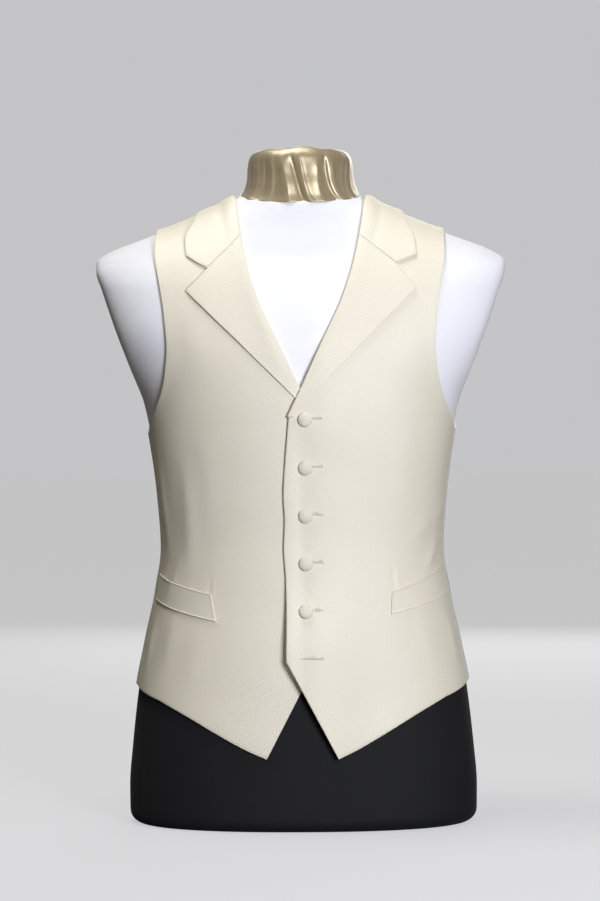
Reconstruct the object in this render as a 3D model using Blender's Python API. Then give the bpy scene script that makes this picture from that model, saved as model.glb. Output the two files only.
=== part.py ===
"""An ivory notch-lapel waistcoat, buttoned on a limbless dress form that stands on its flat base.

Metres, +Z up. The front faces -Y and the wearer's left is +X. The origin is the middle of the form's
flat underside. Every cloth panel lies on the form's own surface, moved out by its lift.
"""

import math
from collections import namedtuple

import bmesh
import bpy
import numpy as np
from mathutils import Matrix, Vector

MM = 0.001

# The form's level sections, in millimetres. Front, side and back are Y, and the side's Y is the line
# that the shoulder runs along. Squareness is the superellipse's power, and plate the share of the
# width that is cut off flat where an arm would be.
Section = namedtuple("Section", "height half_width front side back squareness plate")
BODY = (
    Section(0, 190.0, -116, 3, 124, 2.35, 0.000),
    Section(40, 190.5, -117, 3, 128, 2.35, 0.000),
    Section(85, 187.0, -117, 3, 130, 2.35, 0.000),
    Section(150, 179.5, -115, 2, 124, 2.30, 0.000),
    Section(200, 170.5, -113, 1, 112, 2.30, 0.000),
    Section(250, 159.5, -111, 0, 101, 2.30, 0.000),
    Section(300, 152.5, -111, 0, 95, 2.30, 0.000),
    Section(360, 156.5, -115, 0, 100, 2.35, 0.000),
    Section(425, 165.5, -121, 0, 112, 2.40, 0.000),
    Section(460, 173.0, -123, 0, 118, 2.40, 0.000),
    Section(500, 188.0, -121, 2, 122, 2.40, 0.035),
    Section(540, 203.0, -114, 3, 123, 2.40, 0.080),
    Section(580, 216.5, -102, 4, 120, 2.40, 0.080),
    Section(603, 223.5, -92, 5, 115, 2.35, 0.050),
    Section(612, 223.5, -87, 5, 112, 2.30, 0.025),
    Section(619, 217.5, -83, 5, 109, 2.25, 0.008),
    Section(626, 206.0, -79, 5, 106, 2.20, 0.000),
    Section(636, 180.0, -73, 5, 101, 2.15, 0.000),
    Section(645, 155.5, -68, 5, 96, 2.10, 0.000),
    Section(656, 127.5, -63, 5, 89, 2.05, 0.000),
    Section(666, 102.0, -60, 4, 82, 2.00, 0.000),
    Section(675, 82.0, -58, 3, 76, 2.00, 0.000),
    Section(683, 69.5, -57, 2, 70, 2.00, 0.000),
    Section(692, 62.5, -57, 1, 65, 2.00, 0.000),
    Section(706, 58.8, -56, 0, 60, 2.00, 0.000),
    Section(735, 57.5, -56, -1, 56, 2.00, 0.000),
)
FORM_TOP = 735.0
BASE_EDGE_RADIUS = 14.0
NECK_EDGE_RADIUS = 12.0
FORM_SIDES = 36
EDGE_STEPS = 4
BASE_ROWS = 7
TRUNK_ROWS = 15
CHEST_ROWS = 10
BASE_START = 40.0
WAIST_SEAM_HEIGHT = 203.0
CHEST_START = 430.0
SHOULDER_START = 600.0
SHOULDER_STEPS = 14
SHOULDER_CROWDING = 0.7
NECK_SEAM_HEIGHT = 688.0
NECK_SEAM_SLOPE = 0.256
NECK_SHARES = (0, 0.33, 0.67)

# Cloth, in millimetres.
SEAM_GAP = 0.35
LAYER_GAP = 0.5
COLLAR_EASE = 0.45
FORM_GAP = 1.0
SHOULDER_EASE = 0.5
SHOULDER_EASE_RISE = (590, 640)
FRONT_CLOTH = 1.8
LAPEL_CLOTH = 1.6
BACK_CLOTH = 1.2
WELT_CLOTH = 1.6
SIDE_SEAM_ANGLE = math.radians(77)
SHOULDER_SEAM_ANGLE = math.radians(97)
RIGHT_DROP = 3.5
DROP_FADE = (560, 660)

# Outlines of the wearer's left half, as (x, height) seen from the front. The right half mirrors them.
FRONT_POINT = (37.5, 81)
CUTAWAY_CORNER = (-16, 184)
BREAK_POINT = (-12.5, 443)
FRONT_EDGE = (CUTAWAY_CORNER, (-15.5, 235), (-17.5, 300), (-18, 350), (-16.5, 400), BREAK_POINT)
NECK_EDGE = (BREAK_POINT, (4, 477), (16, 504), (30, 534), (46.5, 572), (59.5, 617), (66, 655))
NECK_POINT_X = 71.0
HEM = (FRONT_POINT, (60, 91), (93, 109), (122, 125.5), (152, 141))
SIDE_HEM_HEIGHT = 154.0
ARMHOLE_FOOT_HEIGHT = 430.0
FRONT_ARMHOLE = ((158, 446), (150.5, 465), (145, 489), (142.5, 517), (145.5, 556), (150.5, 587), (154.5, 612))
SHOULDER_POINT_X = 155.5
BACK_HEM = ((120, 156), (60, 161))
BACK_HEM_MIDDLE = 163.0
UNDER_ARM = ((math.radians(90), 431), (math.radians(101), 438))
BACK_ARMHOLE = ((157.5, 455), (153, 485), (151.5, 520), (153, 570), (156, 612))
BACK_NECK_HEIGHT = 683.0

# Lapel and collar, whose shared gorge seam runs on as the lapel's upper edge.
LAPEL_TIP = (124, 578)
NOTCH = (101.5, 604)
GORGE_TOP = (62.6, 634)
COLLAR_TIP = (123.5, 612.5)
COLLAR_EDGE = (COLLAR_TIP, (122.5, 630), (114, 649))
COLLAR_SHOULDER_X = 107.0
LAPEL_EDGE_LIFT = 1.5
LAPEL_LIFT_RISE = (480, 545)
LAPEL_FOOT_WIDTH = 4.0
GORGE_SHIFT = (0.002, 0.35)

# Where the wearer's left front lies on the right front and on the right lapel, and stands off at its foot.
# Each pair is where the lift starts and stops changing, along x or the height.
OVERLAP_FADE = (18, 75)
OVERLAP_TOP = (485, 560)
CROSSING_FOOT = (385, 438)
CROSSING_TOP = (478, 540)
FLARE = 6.0
FLARE_FADE = (5, 80)
FLARE_TOP = (185, 280)

# Pocket welts, as the angle round the form and the height of the upper edge.
WELT_ANGLES = (math.radians(35), math.radians(72))
WELT_INNER_TOP = 254.5
WELT_RISE = 21.5
WELT_DEPTH = 28.5

# Buttons and their holes.
BUTTON_X = 5.0
HOLE_START_X = 0.0
HOLE_END_X = 22.5
HOLE_WIDTH = 1.3
TOP_BUTTON_HEIGHT = 438.5
BUTTON_PITCH = 50.9
BUTTON_COUNT = 6
BUTTON_PROFILE = ((0, 4.3), (2.7, 4.1), (5.2, 3.45), (7.0, 2.3), (7.75, 1.1), (7.4, 0.25), (6.6, 0), (0, 0))
BUTTON_SIDES = 18
SHANK_WIDTH = 3.2
SHANK_THICKNESS = 0.6
HOLE_CUT_DEPTH = 8.0

# Grid sizes of the panels.
FRONT_ROWS = (6, 14, 24)
FRONT_COLUMNS = 14
BACK_ROWS = (24, 6)
BACK_SIDE_ROWS = 10
BACK_COLUMNS = 16
LAPEL_ROWS = 18
LAPEL_COLUMNS = 6
COLLAR_ROWS = (4, 10)
COLLAR_COLUMNS = 4
WELT_ROWS = 3
WELT_COLUMNS = 10

COLOURS = {
    "waistcoat_cloth": ((0.80, 0.76, 0.64), 0.62),
    "back_satin": ((0.84, 0.82, 0.76), 0.35),
    "form_white_jersey": ((0.80, 0.80, 0.84), 0.80),
    "form_gold_satin": ((0.42, 0.31, 0.13), 0.38),
    "form_black_cloth": ((0.012, 0.012, 0.013), 0.70),
}


class Curve:
    """A smooth curve through (x, y) points that never runs past them."""

    def __init__(self, xs, ys):
        self.xs, self.ys = np.array(xs, float), np.array(ys, float)
        steps = np.diff(self.xs)
        slopes = np.diff(self.ys) / steps
        before, after = slopes[:-1], slopes[1:]
        turning = before * after <= 0
        mean = np.where(turning, 0, 2 * before * after / np.where(turning, 1, before + after))
        self.tangents = np.concatenate([slopes[:1], mean, slopes[-1:]])

    def __call__(self, x):
        x = np.clip(x, self.xs[0], self.xs[-1])
        i = np.clip(np.searchsorted(self.xs, x) - 1, 0, len(self.xs) - 2)
        step = self.xs[i + 1] - self.xs[i]
        t = (x - self.xs[i]) / step
        return (
            self.ys[i] * (1 + 2 * t) * (1 - t) ** 2
            + self.ys[i + 1] * t * t * (3 - 2 * t)
            + step * self.tangents[i] * t * (1 - t) ** 2
            - step * self.tangents[i + 1] * t * t * (1 - t)
        )


HEIGHTS = [s.height for s in BODY]
SHAPE = {name: Curve(HEIGHTS, [getattr(s, name) for s in BODY]) for name in Section._fields[1:]}


def ramp(value, start, end):
    """0 before start, 1 after end, and smooth between them."""
    t = np.clip((value - start) / (end - start), 0, 1)
    return t * t * (3 - 2 * t)


def ring(angle, height, inset=0.0):
    """The form's surface in mm, at an angle from the front towards the wearer's left, and a height."""
    power = SHAPE["squareness"](height)
    sine, cosine = np.sin(angle), np.cos(angle)
    reach = (np.abs(sine) ** power + np.abs(cosine) ** power) ** (-1 / power)
    plate = SHAPE["plate"](height)
    wide = SHAPE["half_width"](height) - inset
    raw = wide * (1 + plate) * np.abs(sine) * reach
    corner = np.maximum(60 * plate, 0.01)
    x = np.sign(sine) * (wide - corner * np.logaddexp(0, (wide - raw) / corner))
    side = SHAPE["side"](height)
    depth = np.where(cosine > 0, SHAPE["front"](height) + inset, SHAPE["back"](height) - inset) - side
    return np.stack([x, side + depth * np.abs(cosine) * reach, height + 0 * x], axis=-1)


def on_body(angle, height, lift=0.0):
    """A point of the form's surface, moved out by lift along the surface's normal, in mm."""
    turn, rise = math.radians(0.4), 0.4
    across = ring(angle + turn, height) - ring(angle - turn, height)
    up = ring(angle, height + rise) - ring(angle, height - rise)
    normal = np.cross(across, up)
    normal /= np.linalg.norm(normal, axis=-1, keepdims=True)
    return ring(angle, height) + normal * np.expand_dims(lift, -1)


def angle_at(x, height):
    """The angle from the front at which the form's section at this height has this x."""
    power = SHAPE["squareness"](height)
    wide = SHAPE["half_width"](height) * (1 + SHAPE["plate"](height))
    across = np.clip(np.abs(x) / wide, 0, 1)
    return np.sign(x) * np.arctan2(across, (1 - across**power) ** (1 / power))


def shoulder_height(x, angle):
    """The height at which the shoulder passes over x, at an angle near the shoulder line."""
    heights = np.linspace(604, 706, 409)
    widths = SHAPE["half_width"](heights) * (1 + SHAPE["plate"](heights))
    height = 650 + 0 * angle
    for _ in range(4):
        power = SHAPE["squareness"](height)
        sine, cosine = np.abs(np.sin(angle)), np.abs(np.cos(angle))
        share = sine * (sine**power + cosine**power) ** (-1 / power)
        height = np.interp(x / share, widths[::-1], heights[::-1])
    return height


def through(keys, count=120):
    """(angle, height) of a smooth line through (x, height) keys on the front."""
    xs, zs = np.array(keys, float).T
    along = np.concatenate([[0], np.cumsum(np.hypot(np.diff(xs), np.diff(zs)))])
    at = np.linspace(0, along[-1], count)
    x, z = Curve(along, xs)(at), Curve(along, zs)(at)
    return np.stack([angle_at(x, z), z], axis=-1)


def behind(line):
    """The same line on the back of the form."""
    return np.stack([math.pi - line[:, 0], line[:, 1]], axis=-1)


def over_shoulder(x_start, x_end, start, end, count=60):
    """(angle, height) of a line over the shoulder, from angle start to angle end."""
    angles = np.linspace(start, end, count)
    xs = np.linspace(x_start, x_end, count)
    return np.stack([angles, shoulder_height(xs, angles)], axis=-1)


def straight(start, end, count=40):
    return np.linspace(start, end, count)


def joined(*lines):
    """Lines end to end, each point once."""
    return np.concatenate([lines[0], *[line[1:] for line in lines[1:]]])


def spaced(line, steps):
    """The line again, with that many even steps along the form's surface."""
    points = on_body(line[:, 0], line[:, 1])
    along = np.concatenate([[0], np.cumsum(np.linalg.norm(np.diff(points, axis=0), axis=1))])
    at = np.linspace(0, along[-1], steps + 1)
    return np.stack([np.interp(at, along, line[:, k]) for k in (0, 1)], axis=-1)


def up_to_ridge(keys, ridge_x, end):
    """A line through front keys and on over the shoulder at ridge_x, to the angle end."""
    rise = through(keys)
    last_x = keys[-1][0]
    angle = rise[-1, 0]
    climb = over_shoulder(last_x, ridge_x, angle, math.pi / 2)
    return joined(rise, climb, over_shoulder(ridge_x, ridge_x, math.pi / 2, end, 12))


def patch(inner, outer, bottom, top):
    """A Coons patch: (rows + 1, columns + 1, 2) angles and heights between four edges."""
    v = np.linspace(0, 1, len(inner))[:, None, None]
    u = np.linspace(0, 1, len(bottom))[None, :, None]
    ruled = (1 - u) * inner[:, None] + u * outer[:, None]
    lofted = (1 - v) * bottom[None] + v * top[None]
    corners = (1 - v) * ((1 - u) * inner[0] + u * outer[0]) + v * ((1 - u) * inner[-1] + u * outer[-1])
    return ruled + lofted - corners


def front_grid():
    """(angle, height) of the wearer's left front, from its front edge to its side seam and armhole."""
    foot, middle, chest = FRONT_ROWS
    side_foot = (SIDE_SEAM_ANGLE, SIDE_HEM_HEIGHT)
    side_top = (SIDE_SEAM_ANGLE, ARMHOLE_FOOT_HEIGHT)
    cutaway = through((FRONT_POINT, CUTAWAY_CORNER))
    edge = through(FRONT_EDGE)
    neck = up_to_ridge(NECK_EDGE, NECK_POINT_X, SHOULDER_SEAM_ANGLE)
    inner = joined(spaced(cutaway, foot), spaced(edge, middle), spaced(neck, chest))
    last = FRONT_ARMHOLE[-1]
    armhole = joined(
        through((on_front(side_top), *FRONT_ARMHOLE)),
        over_shoulder(last[0], SHOULDER_POINT_X, angle_at(*last), SHOULDER_SEAM_ANGLE),
    )
    outer = joined(spaced(straight(side_foot, side_top), foot + middle), spaced(armhole, chest))
    hem = joined(through(HEM), straight(through(HEM)[-1], side_foot))
    shoulder = straight(inner[-1], outer[-1])
    return patch(inner, outer, spaced(hem, FRONT_COLUMNS), spaced(shoulder, FRONT_COLUMNS))


def on_front(place):
    """(x, height) of an (angle, height) place."""
    return (float(ring(np.array(place[0]), np.array(place[1]))[0]), place[1])


def back_grid():
    """(angle, height) of the wearer's left back, from the middle seam to the side seam and armhole."""
    length, neckline = BACK_ROWS
    gap = SEAM_GAP / 110
    side = SIDE_SEAM_ANGLE + gap
    middle = math.pi - gap / 2
    shoulder_angle = SHOULDER_SEAM_ANGLE + SEAM_GAP / 60
    neck_point = over_shoulder(NECK_POINT_X, NECK_POINT_X, shoulder_angle, shoulder_angle, 2)[0]
    inner = joined(
        spaced(straight((middle, BACK_HEM_MIDDLE), (middle, BACK_NECK_HEIGHT)), length),
        spaced(straight((middle, BACK_NECK_HEIGHT), neck_point), neckline),
    )
    armhole = behind(through(BACK_ARMHOLE))
    foot = (side, ARMHOLE_FOOT_HEIGHT)
    outer_top = over_shoulder(BACK_ARMHOLE[-1][0], SHOULDER_POINT_X, armhole[-1, 0], shoulder_angle)
    under = curve_between(foot, *UNDER_ARM, tuple(armhole[0]))
    outer = joined(
        spaced(straight((side, SIDE_HEM_HEIGHT), foot), BACK_SIDE_ROWS),
        spaced(joined(under, armhole, outer_top), length + neckline - BACK_SIDE_ROWS),
    )
    hem = joined(
        straight((middle, BACK_HEM_MIDDLE), behind(through((BACK_HEM[1], BACK_HEM[0])))[0]),
        behind(through((BACK_HEM[1], BACK_HEM[0]))),
        straight(behind(through((BACK_HEM[1], BACK_HEM[0])))[-1], (side, SIDE_HEM_HEIGHT)),
    )
    shoulder = straight(inner[-1], outer[-1])
    return patch(inner, outer, spaced(hem, BACK_COLUMNS), spaced(shoulder, BACK_COLUMNS))


def curve_between(*places):
    """A smooth line through (angle, height) places."""
    angles, heights = np.array(places, float).T
    at = np.linspace(angles[0], angles[-1], 40)
    return np.stack([at, Curve(angles, heights)(at)], axis=-1)


def welt_grid():
    """(angle, height) of the wearer's left pocket welt."""
    across = np.linspace(0, 1, WELT_COLUMNS + 1)[None, :]
    down = WELT_DEPTH * (1 - np.linspace(0, 1, WELT_ROWS + 1))[:, None]
    angles = WELT_ANGLES[0] + (WELT_ANGLES[1] - WELT_ANGLES[0]) * across + 0 * down
    return np.stack([angles, WELT_INNER_TOP + WELT_RISE * across - down], axis=-1)


def lapel_grid():
    """(angle, height) of the wearer's left lapel, from its roll line to its outer edge."""
    foot = (BREAK_POINT[0] + LAPEL_FOOT_WIDTH, BREAK_POINT[1])
    roll = up_to_ridge(NECK_EDGE, NECK_POINT_X, SHOULDER_SEAM_ANGLE)
    roll = roll[: 1 + gorge_index(roll)]
    outer = through((foot, LAPEL_TIP))
    tip = through((NOTCH, LAPEL_TIP))
    top = joined(spaced(gorge_line(roll[-1]), COLLAR_COLUMNS), spaced(tip, LAPEL_COLUMNS - COLLAR_COLUMNS))
    bottom = spaced(straight(roll[0], outer[0]), LAPEL_COLUMNS)
    return patch(spaced(roll, LAPEL_ROWS), spaced(outer, LAPEL_ROWS), bottom, top)


def collar_grid():
    """(angle, height) of the wearer's left collar, from the gorge seam to the shoulder seam."""
    roll = up_to_ridge(NECK_EDGE, NECK_POINT_X, SHOULDER_SEAM_ANGLE)
    roll = roll[gorge_index(roll) :]
    gorge = gorge_line(roll[0]) + GORGE_SHIFT
    inner = joined(gorge[:1], roll[1:])
    edge = up_to_ridge(COLLAR_EDGE, COLLAR_SHOULDER_X, SHOULDER_SEAM_ANGLE)
    tip_rows, edge_rows = COLLAR_ROWS
    outer = joined(spaced(straight(gorge[-1], edge[0]), tip_rows), spaced(edge, edge_rows))
    seam = spaced(straight(inner[-1], edge[-1]), COLLAR_COLUMNS)
    return patch(spaced(inner, tip_rows + edge_rows), outer, spaced(gorge, COLLAR_COLUMNS), seam)


def gorge_index(roll):
    """Where along the roll line the gorge seam starts."""
    return int(np.argmin(np.abs(roll[:, 1] - GORGE_TOP[1])))


def gorge_line(start):
    """(angle, height) of the gorge seam, from its start on the roll line to the notch."""
    line = through((GORGE_TOP, NOTCH))
    line[0] = start
    return line


def hung(grid):
    """The grid as the garment hangs, a little lower on the wearer's right."""
    lowered = grid.copy()
    share = (1 - np.sin(grid[..., 0])) / 2
    lowered[..., 1] -= RIGHT_DROP * share * (1 - ramp(grid[..., 1], *DROP_FADE))
    return lowered


def mirrored(grid):
    """The other half's grid, whose columns still run towards the wearer's left."""
    return grid[:, ::-1] * (-1, 1)


def under_lift(angle, height):
    """How far the wearer's right front lies off the form, in mm."""
    return FORM_GAP + SHOULDER_EASE * ramp(height, *SHOULDER_EASE_RISE) + 0 * angle


def over_lift(angle, height):
    """How far the wearer's left front lies off the form, in mm, with what it covers under it."""
    x = ring(angle, height)[..., 0]
    near_edge = 1 - ramp(x, *OVERLAP_FADE)
    covered = near_edge * (1 - ramp(height, *OVERLAP_TOP))
    crossing = near_edge * ramp(height, *CROSSING_FOOT) * (1 - ramp(height, *CROSSING_TOP))
    flare = FLARE * (1 - ramp(x, *FLARE_FADE)) * (1 - ramp(height, *FLARE_TOP))
    return (
        under_lift(angle, height)
        + covered * (FRONT_CLOTH + LAYER_GAP)
        + crossing * (LAPEL_CLOTH + LAYER_GAP)
        + flare
    )


def on_top(lift):
    """The lift of what lies on a front that has this lift."""
    return lambda angle, height: lift(angle, height) + FRONT_CLOTH + LAYER_GAP


def add_object(name, mesh, material, collection):
    """A new object in the collection, with the material."""
    obj = bpy.data.objects.new(name, mesh)
    mesh.materials.append(material)
    collection.objects.link(obj)
    return obj


def add_panel(name, grid, lift, cloth, material, collection, ease=0.0):
    """A cloth wall over a grid of (angle, height), whose inner face is off the form by lift and ease."""
    rows, columns = grid.shape[0] - 1, grid.shape[1] - 1
    angles, heights = grid[..., 0], grid[..., 1]
    inner = lift(angles, heights) + ease
    faces = [on_body(angles, heights, inner) * MM, on_body(angles, heights, inner + cloth) * MM]
    bm = bmesh.new()
    bmesh.ops.create_grid(bm, x_segments=columns, y_segments=rows, size=0.5)
    raised = bmesh.ops.extrude_face_region(bm, geom=bm.faces[:])["geom"]
    bmesh.ops.translate(bm, vec=(0, 0, 1), verts=[e for e in raised if isinstance(e, bmesh.types.BMVert)])
    for vert in bm.verts:
        across, along, layer = (vert.co.x + 0.5) * columns, (vert.co.y + 0.5) * rows, round(vert.co.z)
        vert.co = faces[layer][round(along), round(across)]
    bmesh.ops.recalc_face_normals(bm, faces=bm.faces)
    if bm.calc_volume(signed=True) < 0:
        bmesh.ops.reverse_faces(bm, faces=bm.faces)
    mesh = bpy.data.meshes.new(name)
    bm.to_mesh(mesh)
    bm.free()
    return add_object(name, mesh, material, collection)


def add_form_piece(name, rows, material, collection):
    """A closed solid lofted through level rings of points, with flat ends."""
    bm = bmesh.new()
    rings = [[bm.verts.new(point * MM) for point in row] for row in rows]
    for lower, upper in zip(rings, rings[1:]):
        for i in range(FORM_SIDES):
            j = (i + 1) % FORM_SIDES
            bm.faces.new((lower[i], lower[j], upper[j], upper[i]))
    bm.faces.new(rings[0][::-1])
    bm.faces.new(rings[-1])
    mesh = bpy.data.meshes.new(name)
    bm.to_mesh(mesh)
    bm.free()
    return add_object(name, mesh, material, collection)


def neck_seam(angles):
    """The heights at which the neck's slanted seam plane meets the form's surface."""
    heights = NECK_SEAM_HEIGHT + 0 * angles
    for _ in range(8):
        heights = NECK_SEAM_HEIGHT + NECK_SEAM_SLOPE * ring(angles, heights)[:, 1]
    return heights


def add_form(collection, materials):
    """The limbless dress form: a base, a torso and a neck."""
    angles = np.arange(FORM_SIDES) * 2 * math.pi / FORM_SIDES
    turns = np.linspace(0, math.pi / 2, EDGE_STEPS + 1)
    half_gap = SEAM_GAP / 2

    foot = BASE_EDGE_RADIUS * (1 - np.cos(turns))
    foot_inset = BASE_EDGE_RADIUS * (1 - np.sin(turns))
    rows = [ring(angles, z + 0 * angles, inset) for z, inset in zip(foot, foot_inset)]
    heights = np.linspace(BASE_START, WAIST_SEAM_HEIGHT - half_gap, BASE_ROWS)
    rows += [ring(angles, z + 0 * angles) for z in heights]
    add_form_piece("form_base", rows, materials["form_black_cloth"], collection)

    level = SHOULDER_START
    trunk = np.linspace(WAIST_SEAM_HEIGHT + half_gap, CHEST_START, TRUNK_ROWS)
    heights = [*trunk, *np.linspace(CHEST_START, level, CHEST_ROWS)[1:]]
    rows = [ring(angles, z + 0 * angles) for z in heights]
    seam = neck_seam(angles)
    for share in np.linspace(0, 1, SHOULDER_STEPS + 1)[1:] ** SHOULDER_CROWDING:
        rows.append(ring(angles, level + share * (seam - half_gap - level)))
    add_form_piece("form_torso", rows, materials["form_white_jersey"], collection)

    bend = FORM_TOP - NECK_EDGE_RADIUS
    rows = [ring(angles, seam + half_gap + share * (bend - seam - half_gap)) for share in NECK_SHARES]
    top = bend + NECK_EDGE_RADIUS * np.sin(turns)
    top_inset = NECK_EDGE_RADIUS * (1 - np.cos(turns))
    rows += [ring(angles, z + 0 * angles, inset) for z, inset in zip(top, top_inset)]
    add_form_piece("form_neck", rows, materials["form_gold_satin"], collection)


def seat(x, height, lift):
    """The matrix of a seat on the cloth: Z stands out of it, and X runs level to the wearer's left."""
    angle, height = angle_at(x, height), np.array(height, float)

    def point(turn, rise):
        at = (angle + turn, height + rise)
        return Vector(on_body(*at, lift(*at)) * MM)

    across = (point(0.02, 0) - point(-0.02, 0)).normalized()
    out = across.cross(point(0, 3) - point(0, -3)).normalized()
    turned = Matrix((across, out.cross(across), out)).transposed().to_4x4()
    return Matrix.Translation(point(0, 0)) @ turned


def button_height(number):
    return TOP_BUTTON_HEIGHT - BUTTON_PITCH * number


def add_buttons(collection, material):
    """Domed cloth-covered buttons on thread shanks. The last is undone, and lies under the overlap."""
    for number in range(BUTTON_COUNT):
        undone = number == BUTTON_COUNT - 1
        lift = on_top(under_lift) if undone else on_top(over_lift)
        height = button_height(number)
        matrix = seat(BUTTON_X, height, lift)
        bm = bmesh.new()
        ends = [bm.verts.new((x * MM, 0, z * MM)) for x, z in BUTTON_PROFILE]
        edges = [bm.edges.new(pair) for pair in zip(ends, ends[1:])]
        bmesh.ops.spin(
            bm,
            geom=ends + edges,
            axis=(0, 0, 1),
            cent=(0, 0, 0),
            angle=2 * math.pi,
            steps=BUTTON_SIDES,
            use_merge=True,
        )
        bmesh.ops.remove_doubles(bm, verts=bm.verts, dist=0.00001)
        bmesh.ops.recalc_face_normals(bm, faces=bm.faces)
        mesh = bpy.data.meshes.new(f"button_{number + 1}")
        bm.to_mesh(mesh)
        bm.free()
        button = add_object(f"button_{number + 1}", mesh, material, collection)
        button.matrix_world = matrix
        if undone:
            continue
        drop = (matrix.translation - seat(BUTTON_X, height, on_top(under_lift)).translation).length
        add_shank(button, drop)


def add_shank(button, drop):
    """Join a flat thread shank to the button, down to the front under the buttonhole."""
    bpy.ops.mesh.primitive_cube_add(size=1)
    shank = bpy.context.object
    shank.name = f"{button.name}_shank"
    shank.scale = (SHANK_WIDTH * MM, SHANK_THICKNESS * MM, drop + 2 * MM)
    shank.matrix_world = button.matrix_world @ Matrix.Translation((0, 0, MM - drop / 2)) @ Matrix.Diagonal(
        shank.scale.to_4d()
    )
    to_cutters(shank)
    join = button.modifiers.new("Shank", "BOOLEAN")
    join.operation = "UNION"
    join.object = shank


def add_buttonholes(front):
    """Cut a row of level slits through the wearer's left front."""
    bm = bmesh.new()
    middle = (HOLE_START_X + HOLE_END_X) / 2
    for number in range(BUTTON_COUNT):
        matrix = seat(middle, button_height(number), over_lift)
        size = Matrix.Diagonal(((HOLE_END_X - HOLE_START_X) * MM, HOLE_WIDTH * MM, HOLE_CUT_DEPTH * MM, 1))
        bmesh.ops.create_cube(bm, size=1, matrix=matrix @ size)
    mesh = bpy.data.meshes.new("buttonhole_cutter")
    bm.to_mesh(mesh)
    bm.free()
    cutter = bpy.data.objects.new("buttonhole_cutter", mesh)
    bpy.context.scene.collection.objects.link(cutter)
    to_cutters(cutter)
    cut = front.modifiers.new("Buttonholes", "BOOLEAN")
    cut.operation = "DIFFERENCE"
    cut.object = cutter


def to_cutters(obj):
    """Move an object to the cutters' collection, and hide it from renders."""
    for collection in obj.users_collection:
        collection.objects.unlink(obj)
    bpy.data.collections["Cutters"].objects.link(obj)
    obj.display_type = "WIRE"
    obj.hide_render = True


def add_garment(collection, materials):
    """The waistcoat's panels, lapels, collars and welts."""
    cloth, satin = materials["waistcoat_cloth"], materials["back_satin"]
    front, back = front_grid(), back_grid()[:, ::-1]
    lapel, collar, welt = lapel_grid(), collar_grid(), welt_grid()
    outwards = np.linspace(0, 1, LAPEL_COLUMNS + 1)[None, :]
    edge = LAPEL_EDGE_LIFT * outwards**2 * ramp(lapel[..., 1], *LAPEL_LIFT_RISE)
    left, right = on_top(over_lift), on_top(under_lift)

    over = add_panel("front_left", hung(front), over_lift, FRONT_CLOTH, cloth, collection)
    add_buttonholes(over)
    add_panel("front_right", hung(mirrored(front)), under_lift, FRONT_CLOTH, cloth, collection)
    flush = FRONT_CLOTH - BACK_CLOTH
    add_panel("back_left", hung(back), under_lift, BACK_CLOTH, satin, collection, flush)
    add_panel("back_right", hung(mirrored(back)), under_lift, BACK_CLOTH, satin, collection, flush)
    add_panel("lapel_left", hung(lapel), left, LAPEL_CLOTH, cloth, collection, edge)
    add_panel("lapel_right", hung(mirrored(lapel)), right, LAPEL_CLOTH, cloth, collection, edge[:, ::-1])
    add_panel("collar_left", hung(collar), left, LAPEL_CLOTH, cloth, collection, COLLAR_EASE)
    add_panel("collar_right", hung(mirrored(collar)), right, LAPEL_CLOTH, cloth, collection, COLLAR_EASE)
    add_panel("welt_left", hung(welt), left, WELT_CLOTH, cloth, collection)
    add_panel("welt_right", hung(mirrored(welt)), right, WELT_CLOTH, cloth, collection)


def add_materials():
    """One Principled material for each entry of COLOURS."""
    materials = {}
    for name, (colour, roughness) in COLOURS.items():
        material = bpy.data.materials.new(name)
        material.use_nodes = True
        shader = material.node_tree.nodes["Principled BSDF"]
        shader.inputs["Base Color"].default_value = (*colour, 1)
        shader.inputs["Roughness"].default_value = roughness
        materials[name] = material
    return materials


def main():
    for obj in list(bpy.data.objects):
        bpy.data.objects.remove(obj)
    whole = bpy.data.collections.new("Waistcoat on a dress form")
    cutters = bpy.data.collections.new("Cutters")
    for collection in (whole, cutters):
        bpy.context.scene.collection.children.link(collection)
    materials = add_materials()
    add_form(whole, materials)
    add_garment(whole, materials)
    add_buttons(whole, materials["waistcoat_cloth"])


main()
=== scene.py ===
"""The finish of an ivory notch-lapel waistcoat, buttoned on a limbless dress form.

Metres, +Z up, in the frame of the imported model: the front faces -Y. Left and right are the garment's
own, so left is +X. Shapes are worked out in millimetres on the form's surface, as (angle, height)
places that are moved out by a lift, and turned into metres where the mesh is placed.
"""

import math
from collections import namedtuple

import bmesh
import bpy
import numpy as np
from bpy.props import FloatProperty, FloatVectorProperty, PointerProperty
from bpy.types import Operator, Panel, PropertyGroup
from mathutils import Matrix, Vector


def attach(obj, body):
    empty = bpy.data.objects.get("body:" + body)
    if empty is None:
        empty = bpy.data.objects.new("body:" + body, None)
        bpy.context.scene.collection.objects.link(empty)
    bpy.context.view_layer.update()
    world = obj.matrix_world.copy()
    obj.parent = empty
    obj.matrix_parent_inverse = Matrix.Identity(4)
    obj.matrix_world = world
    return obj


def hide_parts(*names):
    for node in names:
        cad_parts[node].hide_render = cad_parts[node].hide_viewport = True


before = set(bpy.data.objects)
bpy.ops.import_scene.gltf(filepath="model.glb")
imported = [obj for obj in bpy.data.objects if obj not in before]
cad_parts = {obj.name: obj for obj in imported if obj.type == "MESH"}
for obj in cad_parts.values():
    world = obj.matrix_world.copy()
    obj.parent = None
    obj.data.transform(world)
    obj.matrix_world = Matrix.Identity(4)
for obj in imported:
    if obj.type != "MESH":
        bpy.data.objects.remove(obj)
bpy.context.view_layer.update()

bl_info = {
    "name": "Waistcoat on a dress form",
    "version": (1, 0, 0),
    "blender": (4, 5, 0),
    "location": "View3D > Sidebar > Waistcoat",
    "description": "Makes the cloth, the buttons, the dress form and the studio",
    "category": "Add Mesh",
}

MM = 0.001

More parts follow.
